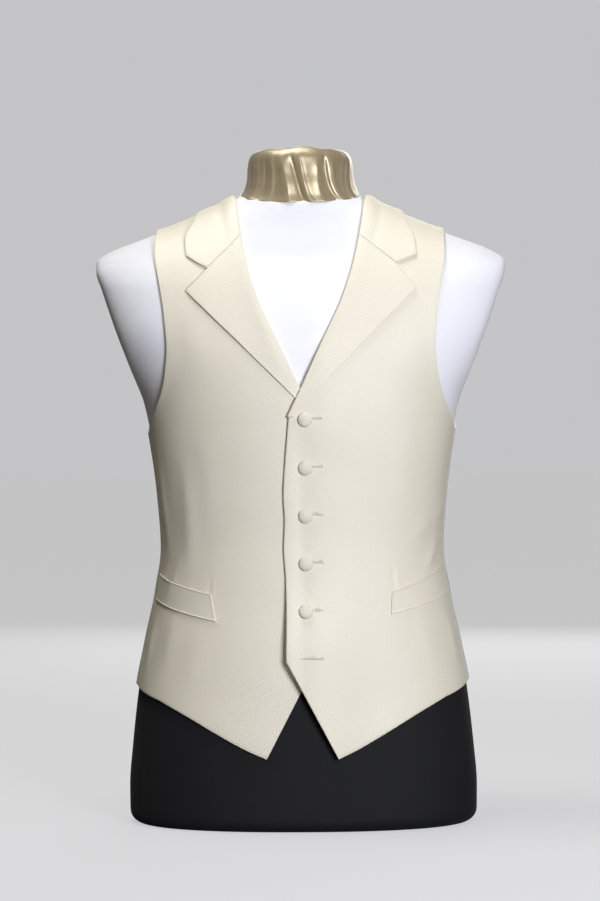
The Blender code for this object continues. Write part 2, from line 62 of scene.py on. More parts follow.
# The form's level sections, in millimetres. Front, side and back are Y, and the side's Y is the line
# that the shoulder runs along. Squareness is the superellipse's power, and plate the share of the
# width that is cut off flat where an arm would be, with a soft corner that grows with it.
Section = namedtuple("Section", "height half_width front side back squareness plate")
BODY = [Section(*row) for row in (
    (0, 190.0, -116, 3, 124, 2.35, 0.000),
    (40, 190.5, -117, 3, 128, 2.35, 0.000),
    (85, 187.0, -117, 3, 130, 2.35, 0.000),
    (150, 179.5, -115, 2, 124, 2.30, 0.000),
    (200, 170.5, -113, 1, 112, 2.30, 0.000),
    (250, 159.5, -111, 0, 101, 2.30, 0.000),
    (300, 152.5, -111, 0, 95, 2.30, 0.000),
    (360, 156.5, -115, 0, 100, 2.35, 0.000),
    (425, 165.5, -121, 0, 112, 2.40, 0.000),
    (460, 173.0, -123, 0, 118, 2.40, 0.000),
    (500, 188.0, -121, 2, 122, 2.40, 0.035),
    (540, 203.0, -114, 3, 123, 2.40, 0.080),
    (580, 216.5, -102, 4, 120, 2.40, 0.080),
    (603, 223.5, -92, 5, 115, 2.35, 0.050),
    (612, 223.5, -87, 5, 112, 2.30, 0.025),
    (619, 217.5, -83, 5, 109, 2.25, 0.008),
    (626, 206.0, -79, 5, 106, 2.20, 0.000),
    (636, 180.0, -73, 5, 101, 2.15, 0.000),
    (645, 155.5, -68, 5, 96, 2.10, 0.000),
    (656, 127.5, -63, 5, 89, 2.05, 0.000),
    (666, 102.0, -60, 4, 82, 2.00, 0.000),
    (675, 82.0, -58, 3, 76, 2.00, 0.000),
    (683, 69.5, -57, 2, 70, 2.00, 0.000),
    (692, 62.5, -57, 1, 65, 2.00, 0.000),
    (706, 58.8, -56, 0, 60, 2.00, 0.000),
    (735, 57.5, -56, -1, 56, 2.00, 0.000),
)]
PLATE_CORNER = 60.0
FORM_TOP = 735.0
BASE_EDGE_RADIUS = 14.0
WAIST_SEAM_HEIGHT = 203.0
NECK_SEAM_HEIGHT = 688.0
NECK_SEAM_SLOPE = 0.256
# The shoulder slopes between these heights, and the covers are drawn in that far beside the waist seam.
SHOULDER_SLOPE = (604, 706)
COVER_TUCK = 1.2
COVER_TUCK_REACH = 3.0

# Cloth, in millimetres. The two radii turn the seams' gap into an angle.
SEAM_GAP = 0.35
LAYER_GAP = 0.5
COLLAR_EASE = 0.45
FORM_GAP = 1.0
SHOULDER_EASE = 0.5
SHOULDER_EASE_RISE = (590, 640)
FRONT_CLOTH = 1.8
LAPEL_CLOTH = 1.6
BACK_CLOTH = 1.2
SIDE_SEAM_ANGLE = math.radians(77)
SHOULDER_SEAM_ANGLE = math.radians(97)
SIDE_RADIUS = 110.0
SHOULDER_RADIUS = 60.0
RIGHT_DROP = 3.5
DROP_FADE = (560, 660)

# Outlines of the left half, as (x, height) seen from the front. The right half mirrors them.
FRONT_POINT = (37.5, 81)
CUTAWAY_CORNER = (-16, 184)
BREAK_POINT = (-12.5, 443)
FRONT_EDGE = (
    CUTAWAY_CORNER, (-15.7, 235), (-16.4, 270), (-18.4, 306), (-17.2, 333), (-18.5, 360), (-16.6, 394),
    BREAK_POINT,
)
NECK_EDGE = (BREAK_POINT, (4, 477), (16, 504), (30, 534), (46.5, 572), (59.5, 617), (66, 655))
NECK_POINT_X = 71.0
HEM = (FRONT_POINT, (60, 91), (93, 109), (122, 125.5), (152, 141))
SIDE_HEM_HEIGHT = 154.0
ARMHOLE_FOOT_HEIGHT = 430.0
FRONT_ARMHOLE = (
    (158, 446), (150.5, 465), (145, 489), (142.5, 517), (145.5, 556), (150.5, 587), (154.5, 612),
)
SHOULDER_POINT_X = 155.5
BACK_HEM = ((120, 156), (60, 161))
BACK_HEM_MIDDLE = 163.0
UNDER_ARM = ((math.radians(90), 431), (math.radians(101), 438))
BACK_ARMHOLE = ((157.5, 455), (153, 485), (151.5, 520), (153, 570), (156, 612))
BACK_NECK_HEIGHT = 683.0

# Lapel and collar, whose shared gorge seam runs on as the lapel's upper edge.
LAPEL_TIP = {"left": (124, 578), "right": (121.5, 577)}
NOTCH = {"left": (101.5, 604), "right": (98.0, 600)}
GORGE_TOP = (62.6, 634)
COLLAR_TIP = {"left": (123.5, 612.5), "right": (120.3, 612.5)}
COLLAR_EDGE = ((122.0, 630), (114, 649))
COLLAR_SHOULDER_X = 107.0
LAPEL_LIFT_RISE = (480, 545)
LAPEL_FOOT_WIDTH = 4.0
LAPEL_FOOT_RISE = {"left": 0.0, "right": 6.0}
GORGE_SHIFT = (0.0005, 0.12)

# Where the left front lies on the right front and on the right lapel, and stands off at its foot and
# along its edge. Each pair is where the lift starts and stops changing, along x or the height.
OVERLAP_FADE = (18, 75)
OVERLAP_TOP = (485, 560)
CROSSING_FOOT = (385, 438)
CROSSING_TOP = (478, 540)
FLARE = 9.0
FLARE_FADE = (5, 80)
FLARE_TOP = (185, 280)
EDGE_STANDOFF = 2.0
EDGE_STANDOFF_FADE = (-14, 3)
EDGE_STANDOFF_TOP = (385, 435)

# Pocket welts: the angles of both ends, and for each welt how far the inner end leans in at its foot, in
# degrees, the heights of the upper edge's two ends, the depths there, and how far the mouth stands open.
WELT_ANGLES = (math.radians(35), math.radians(72))
Welt = namedtuple("Welt", "lean inner_top outer_top inner_depth outer_depth gape")
WELTS = {
    "left": Welt(1.6, 256.0, 280.5, 24.8, 28.5, 1.9),
    "right": Welt(3.4, 255.8, 276.0, 29.5, 28.0, 2.6),
}

# Buttons and their holes, which a cutter HOLE_CUT deep opens.
BUTTON_X = 5.0
HOLE_START_X = 0.0
HOLE_END_X = 22.5
HOLE_WIDTH = 0.9
HOLE_RAISE = 1.2
HOLE_CUT = 10.0
TOP_BUTTON_HEIGHT = 438.5
BUTTON_PITCH = 50.9
BUTTON_COUNT = 6

# How finely the pieces are divided.
FRONT_ROWS = (28, 66, 102)
FRONT_COLUMNS = 112
DRAWN_COLUMNS = 8
DRAWN_ROWS = 3
BACK_ROWS = (150, 30)
BACK_SIDE_ROWS = 80
BACK_COLUMNS = 64
LAPEL_ROWS = 90
LAPEL_COLUMNS = 30
COLLAR_ROWS = (12, 44)
COLLAR_COLUMNS = 18
WELT_ROWS = 48
WELT_COLUMNS = 84
ROLL_STEPS = 8
RIM_STEPS = 4
FORM_SIDES = 192
CAP_RINGS = 10

# Soft details that only the finish has, in millimetres. Seams are rounded by the share SEWN_ROUNDING.
LAPEL_EDGE_LIFT = 1.2
COLLAR_EDGE_LIFT = 0.5
ROLL_BULGE = (2.2, 1.0)
ROLL_BULGE_REACH = 9.0
HEM_EASE = 1.0
HEM_EASE_REACH = 26.0
ARMHOLE_LIFT = 0.9
ARMHOLE_REACH = 9.0
ARMHOLE_RISE = (ARMHOLE_FOOT_HEIGHT, ARMHOLE_FOOT_HEIGHT + 40)
SEWN_ROUNDING = 0.15
SEAM_GROOVE = 0.35
SEAM_GROOVE_WIDTH = 2.6
DEEPEST_TROUGH = 0.7
TROUGH_SHARPNESS = 6.0
WELT_GAP = 0.15
WELT_WALL = 1.2
WELT_RIDGE = 0.62
WELT_RIDGE_WIDTH = 0.75

# Soft folds of the cloth: the angle round the form in degrees, towards the left, and the height of its
# middle; how far it leans from upright, in degrees; half its length, its width, and how far it stands
# out or, below zero, sinks in; and how far its ends curve away. Lengths are in millimetres. A fold less
# than CENTRE_CREASE degrees from the front's middle runs on past it.
CENTRE_CREASE = 12
Crease = namedtuple("Crease", "angle height lean reach width depth curve")
FRONT_CREASES = [Crease(*row) for row in (
    (-47, 332, 3, 88, 11, 1.5, 5),
    (-66, 350, -2, 74, 8, 1.3, -4),
    (-36, 372, 6, 66, 13, 0.7, 6),
    (-56, 268, 14, 34, 6, 0.7, 2),
    (-67, 196, 1, 38, 7, 1.2, 2),
    (-52, 202, 5, 42, 9, 0.9, -3),
    (-39, 178, 9, 40, 12, 0.6, 4),
    (60, 292, 38, 30, 6, 1.3, 3),
    (53, 322, 52, 30, 7, 0.9, -3),
    (67, 338, 63, 24, 6, 0.8, 2),
    (66, 205, -5, 42, 8, 0.9, 3),
    (48, 200, -8, 46, 11, 0.6, -4),
    (40, 388, -6, 70, 14, 0.6, -5),
    (3.6, 304, -52, 10, 2.4, 0.45, 0),
    (4.4, 256, -48, 10, 2.2, 0.45, 0),
    (-2.5, 352, 40, 9, 2.4, 0.35, 0),
    (5.5, 214, -58, 10, 2.4, 0.35, 0),
    (-31, 520, 10, 52, 15, 0.6, 3),
    (34, 515, -12, 50, 16, 0.5, -3),
    (36.4, 268, 0, 24, 1.6, -0.55, 0),
    (38.4, 266, 2, 22, 2.2, 0.5, 1),
    (-36.2, 262, 2, 16, 1.5, -0.5, 0),
    (-34.4, 258, -3, 18, 1.9, 0.4, -1),
)]
BACK_CREASES = [Crease(*row) for row in (
    (128, 318, 5, 112, 13, 1.9, 8),
    (147, 282, -3, 84, 10, 1.6, -5),
    (109, 352, 9, 86, 10, 1.2, 5),
    (165, 330, 2, 96, 9, 0.9, 3),
    (136, 214, 12, 46, 8, 1.1, -4),
    (118, 252, 70, 34, 6, 0.8, 3),
    (152, 404, -14, 60, 12, 0.8, 6),
    (97, 268, 34, 36, 7, 1.0, -3),
    (-124, 330, -6, 98, 12, 1.7, -7),
    (-143, 268, 4, 92, 11, 1.8, 4),
    (-107, 300, -12, 70, 9, 1.1, 4),
    (-163, 350, -3, 80, 9, 1.0, -4),
    (-152, 222, -10, 44, 8, 0.9, 3),
    (-133, 246, -74, 36, 6, 0.8, -2),
    (-150, 410, 12, 58, 12, 0.9, -5),
    (-96, 276, -30, 34, 7, 0.9, 2),
    (140, 560, 24, 56, 14, 0.7, 5),
    (-138, 548, -22, 60, 13, 0.8, -5),
)]
# Gathers of the neck's cover: their angle in degrees at the top and at the foot, their width in
# degrees, and how far they stand out or, below zero, sink in, in millimetres.
Gather = namedtuple("Gather", "top foot width depth")
NECK_GATHERS = [Gather(*row) for row in (
    (-66, -60, 2.2, -0.9),
    (-54, -48, 5.0, 1.7),
    (-41, -38, 2.0, -1.7),
    (-32, -27, 3.6, 1.6),
    (-20, -8, 7.0, 2.8),
    (-9, 4, 2.6, -2.8),
    (0, 9, 3.0, 1.4),
    (18, 18, 8.0, 2.6),
    (29, 34, 2.4, -2.8),
    (38, 41, 4.0, 1.2),
    (56, 47, 2.8, 1.2),
    (63, 53, 1.6, -1.5),
    (72, 61, 3.4, 1.3),
    (88, 80, 4.4, 0.8),
    (101, 97, 4.0, 1.7),
    (108, 106, 1.8, -1.2),
    (117, 124, 3.0, 1.2),
    (138, 131, 5.5, 1.8),
    (147, 143, 2.0, -1.3),
    (156, 160, 3.2, 1.4),
    (177, 171, 4.6, 1.9),
    (-171, -178, 2.0, -1.2),
    (-160, -152, 3.0, 1.6),
    (-139, -143, 5.2, 1.2),
    (-118, -109, 3.4, 1.8),
    (-110, -101, 1.8, -1.4),
    (-94, -98, 4.4, 1.3),
    (-80, -75, 3.0, 0.9),
)]
# Where the neck's upper rim rises and dips: angle and width in degrees, and height in millimetres.
NECK_RIM = (
    (-46, 9, 0.8), (-26, 8, -0.9), (5, 14, 1.8), (28, 8, -0.5), (44, 8, 0.4),
    (100, 20, 1.0), (150, 25, -0.8), (-120, 25, 0.9), (-170, 20, 0.5),
)

# The weave: how much its diamonds, fine threads, slubs and mottling add to its shade, which starts at
# SHADE_START, to its height, which starts as the diamonds, and to its roughness.
# The diamonds turn the colour to the darker one where the weave sinks in. This is partly the threads' own
# tone and partly painted shade in the hollows.
THREADS_IN_A_DIAMOND = 4
SHADE_START = 0.62
SHADE_SHARES = (-0.72, -0.06, 0.14, 0.10)
HEIGHT_SHARES = (0, 0.3, 0.5, 0)
ROUGHNESS_SHARES = (-0.12, 0, 0, 0.08)


class ClothSettings(PropertyGroup):
    colour: FloatVectorProperty(
        name="Cloth colour", description="The light threads of the cloth", subtype="COLOR",
        default=(0.87, 0.825, 0.685), min=0, max=1,
    )
    # This darker colour lies in the hollows between the diamonds. It is partly the threads' own tone and
    # partly painted shade.
    shade: FloatVectorProperty(
        name="Weave shade", description="The darker threads between the diamonds", subtype="COLOR",
        default=(0.60, 0.53, 0.395), min=0, max=1,
    )
    period: FloatProperty(
        name="Weave period", description="From one diamond of the weave to the next",
        default=2.8 * MM, min=0.5 * MM, max=20 * MM, unit="LENGTH",
    )
    crease_depth: FloatProperty(
        name="Crease depth", description="Multiplies the depth of every fold", default=1.2, min=0, max=3,
        subtype="FACTOR",
    )
    satin: FloatVectorProperty(
        name="Back satin", description="Colour of the two back halves", subtype="COLOR",
        default=(0.84, 0.81, 0.73), min=0, max=1,
    )


class ButtonSettings(PropertyGroup):
    radius: FloatProperty(
        name="Button radius", description="Half the width of a covered button", default=7.75 * MM,
        min=4 * MM, max=15 * MM, unit="LENGTH",
    )
    dome: FloatProperty(
        name="Dome", description="How far a button stands up from its flat underside", default=4.3 * MM,
        min=1 * MM, max=10 * MM, unit="LENGTH",
    )
    thread: FloatVectorProperty(
        name="Thread", description="Colour of the buttonhole thread", subtype="COLOR",
        default=(0.88, 0.82, 0.67), min=0, max=1,
    )
    stitch_pitch: FloatProperty(
        name="Stitch pitch", description="From one buttonhole stitch to the next", default=0.48 * MM,
        min=0.3 * MM, max=3 * MM, unit="LENGTH",
    )


class FormSettings(PropertyGroup):
    jersey: FloatVectorProperty(
        name="Torso jersey", description="Colour of the torso's cover", subtype="COLOR",
        default=(0.92, 0.92, 0.95), min=0, max=1,
    )
    gold: FloatVectorProperty(
        name="Neck satin", description="Colour of the neck's gathered cover", subtype="COLOR",
        default=(0.56, 0.46, 0.28), min=0, max=1,
    )
    black: FloatVectorProperty(
        name="Base cloth", description="Colour of the base's cover", subtype="COLOR",
        default=(0.012, 0.012, 0.014), min=0, max=1,
    )


class StudioSettings(PropertyGroup):
    floor: FloatVectorProperty(
        name="Floor", description="Colour of the plain floor and of the background", subtype="COLOR",
        default=(0.60, 0.60, 0.61), min=0, max=1,
    )
    answer: FloatProperty(
        name="Floor answer", description="How much the lights and shadows show on the floor",
        default=0.3, min=0, max=1, subtype="FACTOR",
    )
    bounce: FloatProperty(
        name="Floor bounce", description="How much of its light the floor gives back to the object",
        default=0.25, min=0, max=1, subtype="FACTOR",
    )
    key_power: FloatProperty(
        name="Key light", description="Power of the light at the front right", default=33, min=0, max=1000,
        unit="POWER",
    )
    fill_power: FloatProperty(
        name="Fill light", description="Power of the light at the front left", default=0.3, min=0, max=1000,
        unit="POWER",
    )
    top_power: FloatProperty(
        name="Top light", description="Power of the light overhead", default=26, min=0, max=1000,
        unit="POWER",
    )
    back_power: FloatProperty(
        name="Back light", description="Power of the light behind", default=46, min=0,
        max=1000, unit="POWER",
    )
    ambient: FloatProperty(
        name="Ambient light", description="Strength of the even light from all round", default=0.085,
        min=0, max=2,
    )
    glow: FloatProperty(
        name="Backdrop brightness", description="How bright the floor and the background look by themselves",
        default=0.9, min=0, max=4,
    )
    distance: FloatProperty(
        name="Camera distance", description="From the camera to the middle of the form", default=3.0,
        min=1, max=10, unit="LENGTH",
    )


class WaistcoatSettings(PropertyGroup):
    cloth: PointerProperty(type=ClothSettings)
    buttons: PointerProperty(type=ButtonSettings)
    form: PointerProperty(type=FormSettings)
    studio: PointerProperty(type=StudioSettings)


class Curve:
    """A smooth curve through (x, y) points that never runs past them."""

    def __init__(self, xs, ys):
        self.xs, self.ys = np.array(xs, float), np.array(ys, float)
        steps = np.diff(self.xs)
        slopes = np.diff(self.ys) / steps
        before, after = slopes[:-1], slopes[1:]
        turning = before * after <= 0
        mean = np.where(turning, 0, 2 * before * after / np.where(turning, 1, before + after))
        self.tangents = np.concatenate([slopes[:1], mean, slopes[-1:]])

    def __call__(self, x):
        x = np.clip(x, self.xs[0], self.xs[-1])
        i = np.clip(np.searchsorted(self.xs, x) - 1, 0, len(self.xs) - 2)
        step = self.xs[i + 1] - self.xs[i]
        t = (x - self.xs[i]) / step
        return (
            self.ys[i] * (1 + 2 * t) * (1 - t) ** 2
            + self.ys[i + 1] * t * t * (3 - 2 * t)
            + step * self.tangents[i] * t * (1 - t) ** 2
            - step * self.tangents[i + 1] * t * t * (1 - t)
        )


HEIGHTS = [s.height for s in BODY]
SHAPE = {name: Curve(HEIGHTS, [getattr(s, name) for s in BODY]) for name in Section._fields[1:]}


def ramp(value, start, end):
    """0 before start, 1 after end, and smooth between them."""
    t = np.clip((value - start) / (end - start), 0, 1)
    return t * t * (3 - 2 * t)


def fade(value, start, end):
    """1 before start, 0 after end, and smooth between them."""
    return 1 - ramp(value, start, end)


def bell(distance, width):
    """1 in the middle, falling softly to 0 on both sides."""
    return np.exp(-((distance / width) ** 2))


def ring(angle, height, inset=0.0):
    """The form's surface in mm, at an angle from the front towards the left, and a height."""
    power = SHAPE["squareness"](height)
    sine, cosine = np.sin(angle), np.cos(angle)
    reach = (np.abs(sine) ** power + np.abs(cosine) ** power) ** (-1 / power)
    plate = SHAPE["plate"](height)
    wide = SHAPE["half_width"](height) - inset
    raw = wide * (1 + plate) * np.abs(sine) * reach
    corner = np.maximum(PLATE_CORNER * plate, 0.01)
    x = np.sign(sine) * (wide - corner * np.logaddexp(0, (wide - raw) / corner))
    side = SHAPE["side"](height)
    depth = np.where(cosine > 0, SHAPE["front"](height) + inset, SHAPE["back"](height) - inset) - side
    return np.stack([x, side + depth * np.abs(cosine) * reach, height + 0 * x], axis=-1)


def normal_at(angle, height):
    """The form's outward normal."""
    turn, rise = math.radians(0.4), 0.4
    across = ring(angle + turn, height) - ring(angle - turn, height)
    up = ring(angle, height + rise) - ring(angle, height - rise)
    normal = np.cross(across, up)
    return normal / np.linalg.norm(normal, axis=-1, keepdims=True)


def surface(grid):
    """The form's surface in mm, where the grid's (angle, height) places are."""
    return ring(grid[..., 0], grid[..., 1])


def on_body(angle, height, lift=0.0):
    """A point of the form's surface, moved out by lift along the surface's normal, in mm."""
    return ring(angle, height) + normal_at(angle, height) * np.expand_dims(lift, -1)


def angle_at(x, height):
    """The angle from the front at which the form's section at this height has this x."""
    power = SHAPE["squareness"](height)
    wide = SHAPE["half_width"](height) * (1 + SHAPE["plate"](height))
    across = np.clip(np.abs(x) / wide, 0, 1)
    return np.sign(x) * np.arctan2(across, (1 - across**power) ** (1 / power))


def shoulder_height(x, angle):
    """The height at which the shoulder passes over x, at an angle near the shoulder line."""
    heights = np.linspace(*SHOULDER_SLOPE, 409)
    widths = SHAPE["half_width"](heights) * (1 + SHAPE["plate"](heights))
    height = 650 + 0 * angle
    for _ in range(4):
        power = SHAPE["squareness"](height)
        sine, cosine = np.abs(np.sin(angle)), np.abs(np.cos(angle))
        share = sine * (sine**power + cosine**power) ** (-1 / power)
        height = np.interp(x / share, widths[::-1], heights[::-1])
    return height


def through(keys, count=240):
    """(angle, height) of a smooth line through (x, height) keys on the front."""
    xs, zs = np.array(keys, float).T
    along = np.concatenate([[0], np.cumsum(np.hypot(np.diff(xs), np.diff(zs)))])
    at = np.linspace(0, along[-1], count)
    x, z = Curve(along, xs)(at), Curve(along, zs)(at)
    return np.stack([angle_at(x, z), z], axis=-1)


def behind(line):
    """The same line on the back of the form."""
    return np.stack([math.pi - line[:, 0], line[:, 1]], axis=-1)


def over_shoulder(x_start, x_end, start, end, count=120):
    """(angle, height) of a line over the shoulder, from angle start to angle end."""
    angles = np.linspace(start, end, count)
    xs = np.linspace(x_start, x_end, count)
    return np.stack([angles, shoulder_height(xs, angles)], axis=-1)


def straight(start, end, count=80):
    return np.linspace(start, end, count)


def joined(*lines):
    """Lines end to end, each point once."""
    return np.concatenate([lines[0], *[line[1:] for line in lines[1:]]])


def lengths(points):
    """How far along a line of points each one lies."""
    return np.concatenate([[0], np.cumsum(np.linalg.norm(np.diff(points, axis=0), axis=1))])


def spaced(line, steps):
    """The line again, with that many even steps along the form's surface."""
    along = lengths(on_body(line[:, 0], line[:, 1]))
    at = np.linspace(0, along[-1], steps + 1)
    return np.stack([np.interp(at, along, line[:, k]) for k in (0, 1)], axis=-1)


def up_to_ridge(keys, ridge_x, end):
    """A line through front keys and on over the shoulder at ridge_x, to the angle end."""
    rise = through(keys)
    climb = over_shoulder(keys[-1][0], ridge_x, rise[-1, 0], math.pi / 2)
    return joined(rise, climb, over_shoulder(ridge_x, ridge_x, math.pi / 2, end, 24))


def neck_line():
    """The left neck edge, from the break point to the shoulder seam."""
    return up_to_ridge(NECK_EDGE, NECK_POINT_X, SHOULDER_SEAM_ANGLE)


def curve_between(*places):
    """A smooth line through (angle, height) places."""
    angles, heights = np.array(places, float).T
    at = np.linspace(angles[0], angles[-1], 80)
    return np.stack([at, Curve(angles, heights)(at)], axis=-1)


def patch(inner, outer, bottom, top):
    """A Coons patch: (rows + 1, columns + 1, 2) angles and heights between four edges."""
    v = np.linspace(0, 1, len(inner))[:, None, None]
    u = np.linspace(0, 1, len(bottom))[None, :, None]
    ruled = (1 - u) * inner[:, None] + u * outer[:, None]
    lofted = (1 - v) * bottom[None] + v * top[None]
    corners = (1 - v) * ((1 - u) * inner[0] + u * outer[0]) + v * ((1 - u) * inner[-1] + u * outer[-1])
    return ruled + lofted - corners


def on_front(place):
    """(x, height) of an (angle, height) place."""
    return (float(ring(np.array(place[0]), np.array(place[1]))[0]), place[1])


def front_grid():
    """(angle, height) of the left front, from its front edge to its side seam and armhole."""
    foot, middle, chest = FRONT_ROWS
    side_foot = (SIDE_SEAM_ANGLE, SIDE_HEM_HEIGHT)
    side_top = (SIDE_SEAM_ANGLE, ARMHOLE_FOOT_HEIGHT)
    cutaway = through((FRONT_POINT, CUTAWAY_CORNER))
    edge = through(FRONT_EDGE)
    inner = joined(spaced(cutaway, foot), spaced(edge, middle), spaced(neck_line(), chest))
    last = FRONT_ARMHOLE[-1]
    armhole = joined(
        through((on_front(side_top), *FRONT_ARMHOLE)),
        over_shoulder(last[0], SHOULDER_POINT_X, angle_at(*last), SHOULDER_SEAM_ANGLE),
    )
    outer = joined(spaced(straight(side_foot, side_top), foot + middle), spaced(armhole, chest))
    hem = joined(through(HEM), straight(through(HEM)[-1], side_foot))
    shoulder = straight(inner[-1], outer[-1])
    return patch(inner, outer, spaced(hem, FRONT_COLUMNS), spaced(shoulder, FRONT_COLUMNS))


def back_grid():
    """(angle, height) of the left back, from the middle seam to the side seam and armhole."""
    length, neckline = BACK_ROWS
    gap = SEAM_GAP / SIDE_RADIUS
    side = SIDE_SEAM_ANGLE + gap
    middle = math.pi - gap / 2
    shoulder_angle = SHOULDER_SEAM_ANGLE + SEAM_GAP / SHOULDER_RADIUS
    neck_point = over_shoulder(NECK_POINT_X, NECK_POINT_X, shoulder_angle, shoulder_angle, 2)[0]
    inner = joined(
        spaced(straight((middle, BACK_HEM_MIDDLE), (middle, BACK_NECK_HEIGHT)), length),
        spaced(straight((middle, BACK_NECK_HEIGHT), neck_point), neckline),
    )
    armhole = behind(through(BACK_ARMHOLE))
    foot = (side, ARMHOLE_FOOT_HEIGHT)
    outer_top = over_shoulder(BACK_ARMHOLE[-1][0], SHOULDER_POINT_X, armhole[-1, 0], shoulder_angle)
    under = curve_between(foot, *UNDER_ARM, tuple(armhole[0]))
    outer = joined(
        spaced(straight((side, SIDE_HEM_HEIGHT), foot), BACK_SIDE_ROWS),
        spaced(joined(under, armhole, outer_top), length + neckline - BACK_SIDE_ROWS),
    )
    low = behind(through((BACK_HEM[1], BACK_HEM[0])))
    side_foot = (side, SIDE_HEM_HEIGHT)
    hem = joined(straight((middle, BACK_HEM_MIDDLE), low[0]), low, straight(low[-1], side_foot))
    shoulder = straight(inner[-1], outer[-1])
    return patch(inner, outer, spaced(hem, BACK_COLUMNS), spaced(shoulder, BACK_COLUMNS))


def welt_grid(welt):
    """(angle, height) of a pocket welt, on the left."""
    across = np.linspace(0, 1, WELT_COLUMNS + 1)[None, :]
    down = (1 - np.linspace(0, 1, WELT_ROWS + 1))[:, None]
    lean = math.radians(welt.lean) * (1 - across) * down
    angles = WELT_ANGLES[0] + (WELT_ANGLES[1] - WELT_ANGLES[0]) * across - lean
    tops = welt.inner_top + (welt.outer_top - welt.inner_top) * across
    depths = welt.inner_depth + (welt.outer_depth - welt.inner_depth) * across
    return np.stack([angles, tops - depths * down], axis=-1)


def lapel_grid(half):
    """(angle, height) of a lapel, on the left, from its roll line to its outer edge."""
    foot = (BREAK_POINT[0] + LAPEL_FOOT_WIDTH, BREAK_POINT[1] + LAPEL_FOOT_RISE[half])
    roll = neck_line()
    roll = roll[: 1 + gorge_index(roll)]
    outer = through((foot, LAPEL_TIP[half]))
    tip = through((NOTCH[half], LAPEL_TIP[half]))
    gorge = spaced(gorge_line(roll[-1], half), COLLAR_COLUMNS)
    top = joined(gorge, spaced(tip, LAPEL_COLUMNS - COLLAR_COLUMNS))
    bottom = spaced(straight(roll[0], outer[0]), LAPEL_COLUMNS)
    return patch(spaced(roll, LAPEL_ROWS), spaced(outer, LAPEL_ROWS), bottom, top)


def collar_grid(half):
    """(angle, height) of half the collar, on the left, from the gorge to the shoulder seam."""
    roll = neck_line()
    roll = roll[gorge_index(roll) :]
    gorge = gorge_line(roll[0], half) + GORGE_SHIFT
    inner = joined(gorge[:1], roll[1:])
    edge = up_to_ridge((COLLAR_TIP[half], *COLLAR_EDGE), COLLAR_SHOULDER_X, SHOULDER_SEAM_ANGLE)
    tip_rows, edge_rows = COLLAR_ROWS
    outer = joined(spaced(straight(gorge[-1], edge[0]), tip_rows), spaced(edge, edge_rows))
    seam = spaced(straight(inner[-1], edge[-1]), COLLAR_COLUMNS)
    return patch(spaced(inner, tip_rows + edge_rows), outer, spaced(gorge, COLLAR_COLUMNS), seam)


def gorge_index(roll):
    """Where along the roll line the gorge seam starts."""
    return int(np.argmin(np.abs(roll[:, 1] - GORGE_TOP[1])))


def gorge_line(start, half):
    """(angle, height) of the gorge seam, from its start on the roll line to the notch."""
    line = through((GORGE_TOP, NOTCH[half]))
    line[0] = start
    return line


def hung(grid):
    """The grid as the garment hangs, a little lower on the right."""
    lowered = grid.copy()
    share = (1 - np.sin(grid[..., 0])) / 2
    lowered[..., 1] -= RIGHT_DROP * share * fade(grid[..., 1], *DROP_FADE)
    return lowered


def mirrored(grid):
    """The other half's grid, whose columns still run towards the left."""
    return grid[:, ::-1] * (-1, 1)


def placed(grid, half):
    """A grid made on the left, where it hangs on that half."""
    return hung(grid if half == "left" else grid * (-1, 1))


def two_halves(grid):
    """The left and the right half of the garment, by name, as they hang."""
    return {"left": hung(grid), "right": hung(mirrored(grid))}


class Grain:
    """Distances over the form's surface, so that a weave keeps its real size everywhere."""

    STEPS_ROUND, STEPS_UP = 180, 147

    def __init__(self):
        angles = np.linspace(0, math.pi, self.STEPS_ROUND + 1)[None, :]
        heights = np.linspace(0, FORM_TOP, self.STEPS_UP + 1)[:, None]
        points = ring(angles + 0 * heights, heights + 0 * angles)
        steps = np.linalg.norm(np.diff(points, axis=1), axis=-1)
        self.round = np.pad(np.cumsum(steps, axis=1), ((0, 0), (1, 0)))
        inner = np.clip(heights, 1, FORM_TOP - 1)
        level = np.linalg.norm(normal_at(angles + 0 * inner, inner + 0 * angles)[..., :2], axis=-1)
        rise = FORM_TOP / self.STEPS_UP / np.maximum(level, 0.3)
        self.up = np.cumsum(rise, axis=0)

    def read(self, table, angle, height):
        across = np.clip(np.abs(angle) / math.pi * self.STEPS_ROUND, 0, self.STEPS_ROUND - 0.001)
        along = np.clip(height / FORM_TOP * self.STEPS_UP, 0, self.STEPS_UP - 0.001)
        i, j = along.astype(int), across.astype(int)
        v, u = along - i, across - j
        low = table[i, j] * (1 - u) + table[i, j + 1] * u
        return low * (1 - v) + (table[i + 1, j] * (1 - u) + table[i + 1, j + 1] * u) * v

    def around(self, angle, height):
        """Millimetres from the front's middle, level round the form."""
        return np.sign(angle) * self.read(self.round, angle, height)

    def place(self, grid):
        """The grain coordinates of a grid, in metres."""
        angle, height = grid[..., 0], grid[..., 1]
        return np.stack([self.around(angle, height), self.read(self.up, angle, height)], axis=-1) * MM


GRAIN = Grain()


def crease_relief(angle, height):
    """How far the soft folds move the cloth out, in mm."""
    total = 0 * angle
    around = GRAIN.around(angle, height)
    for crease in FRONT_CREASES + BACK_CREASES:
        middle = math.radians(crease.angle) + 0 * angle
        aside = around - GRAIN.around(middle, height)
        above = height - crease.height
        lean = math.radians(crease.lean)
        along = (aside * math.sin(lean) + above * math.cos(lean)) / crease.reach
        across = aside * math.cos(lean) - above * math.sin(lean) + crease.curve * along**2
        ends = np.clip(1 - along**2, 0, 1) ** 2
        near = np.sign(angle) == np.sign(middle)
        near |= np.abs(crease.angle) < CENTRE_CREASE
        total += near * crease.depth * ends * bell(across, crease.width)
    return total * bpy.context.scene.waistcoat.cloth.crease_depth


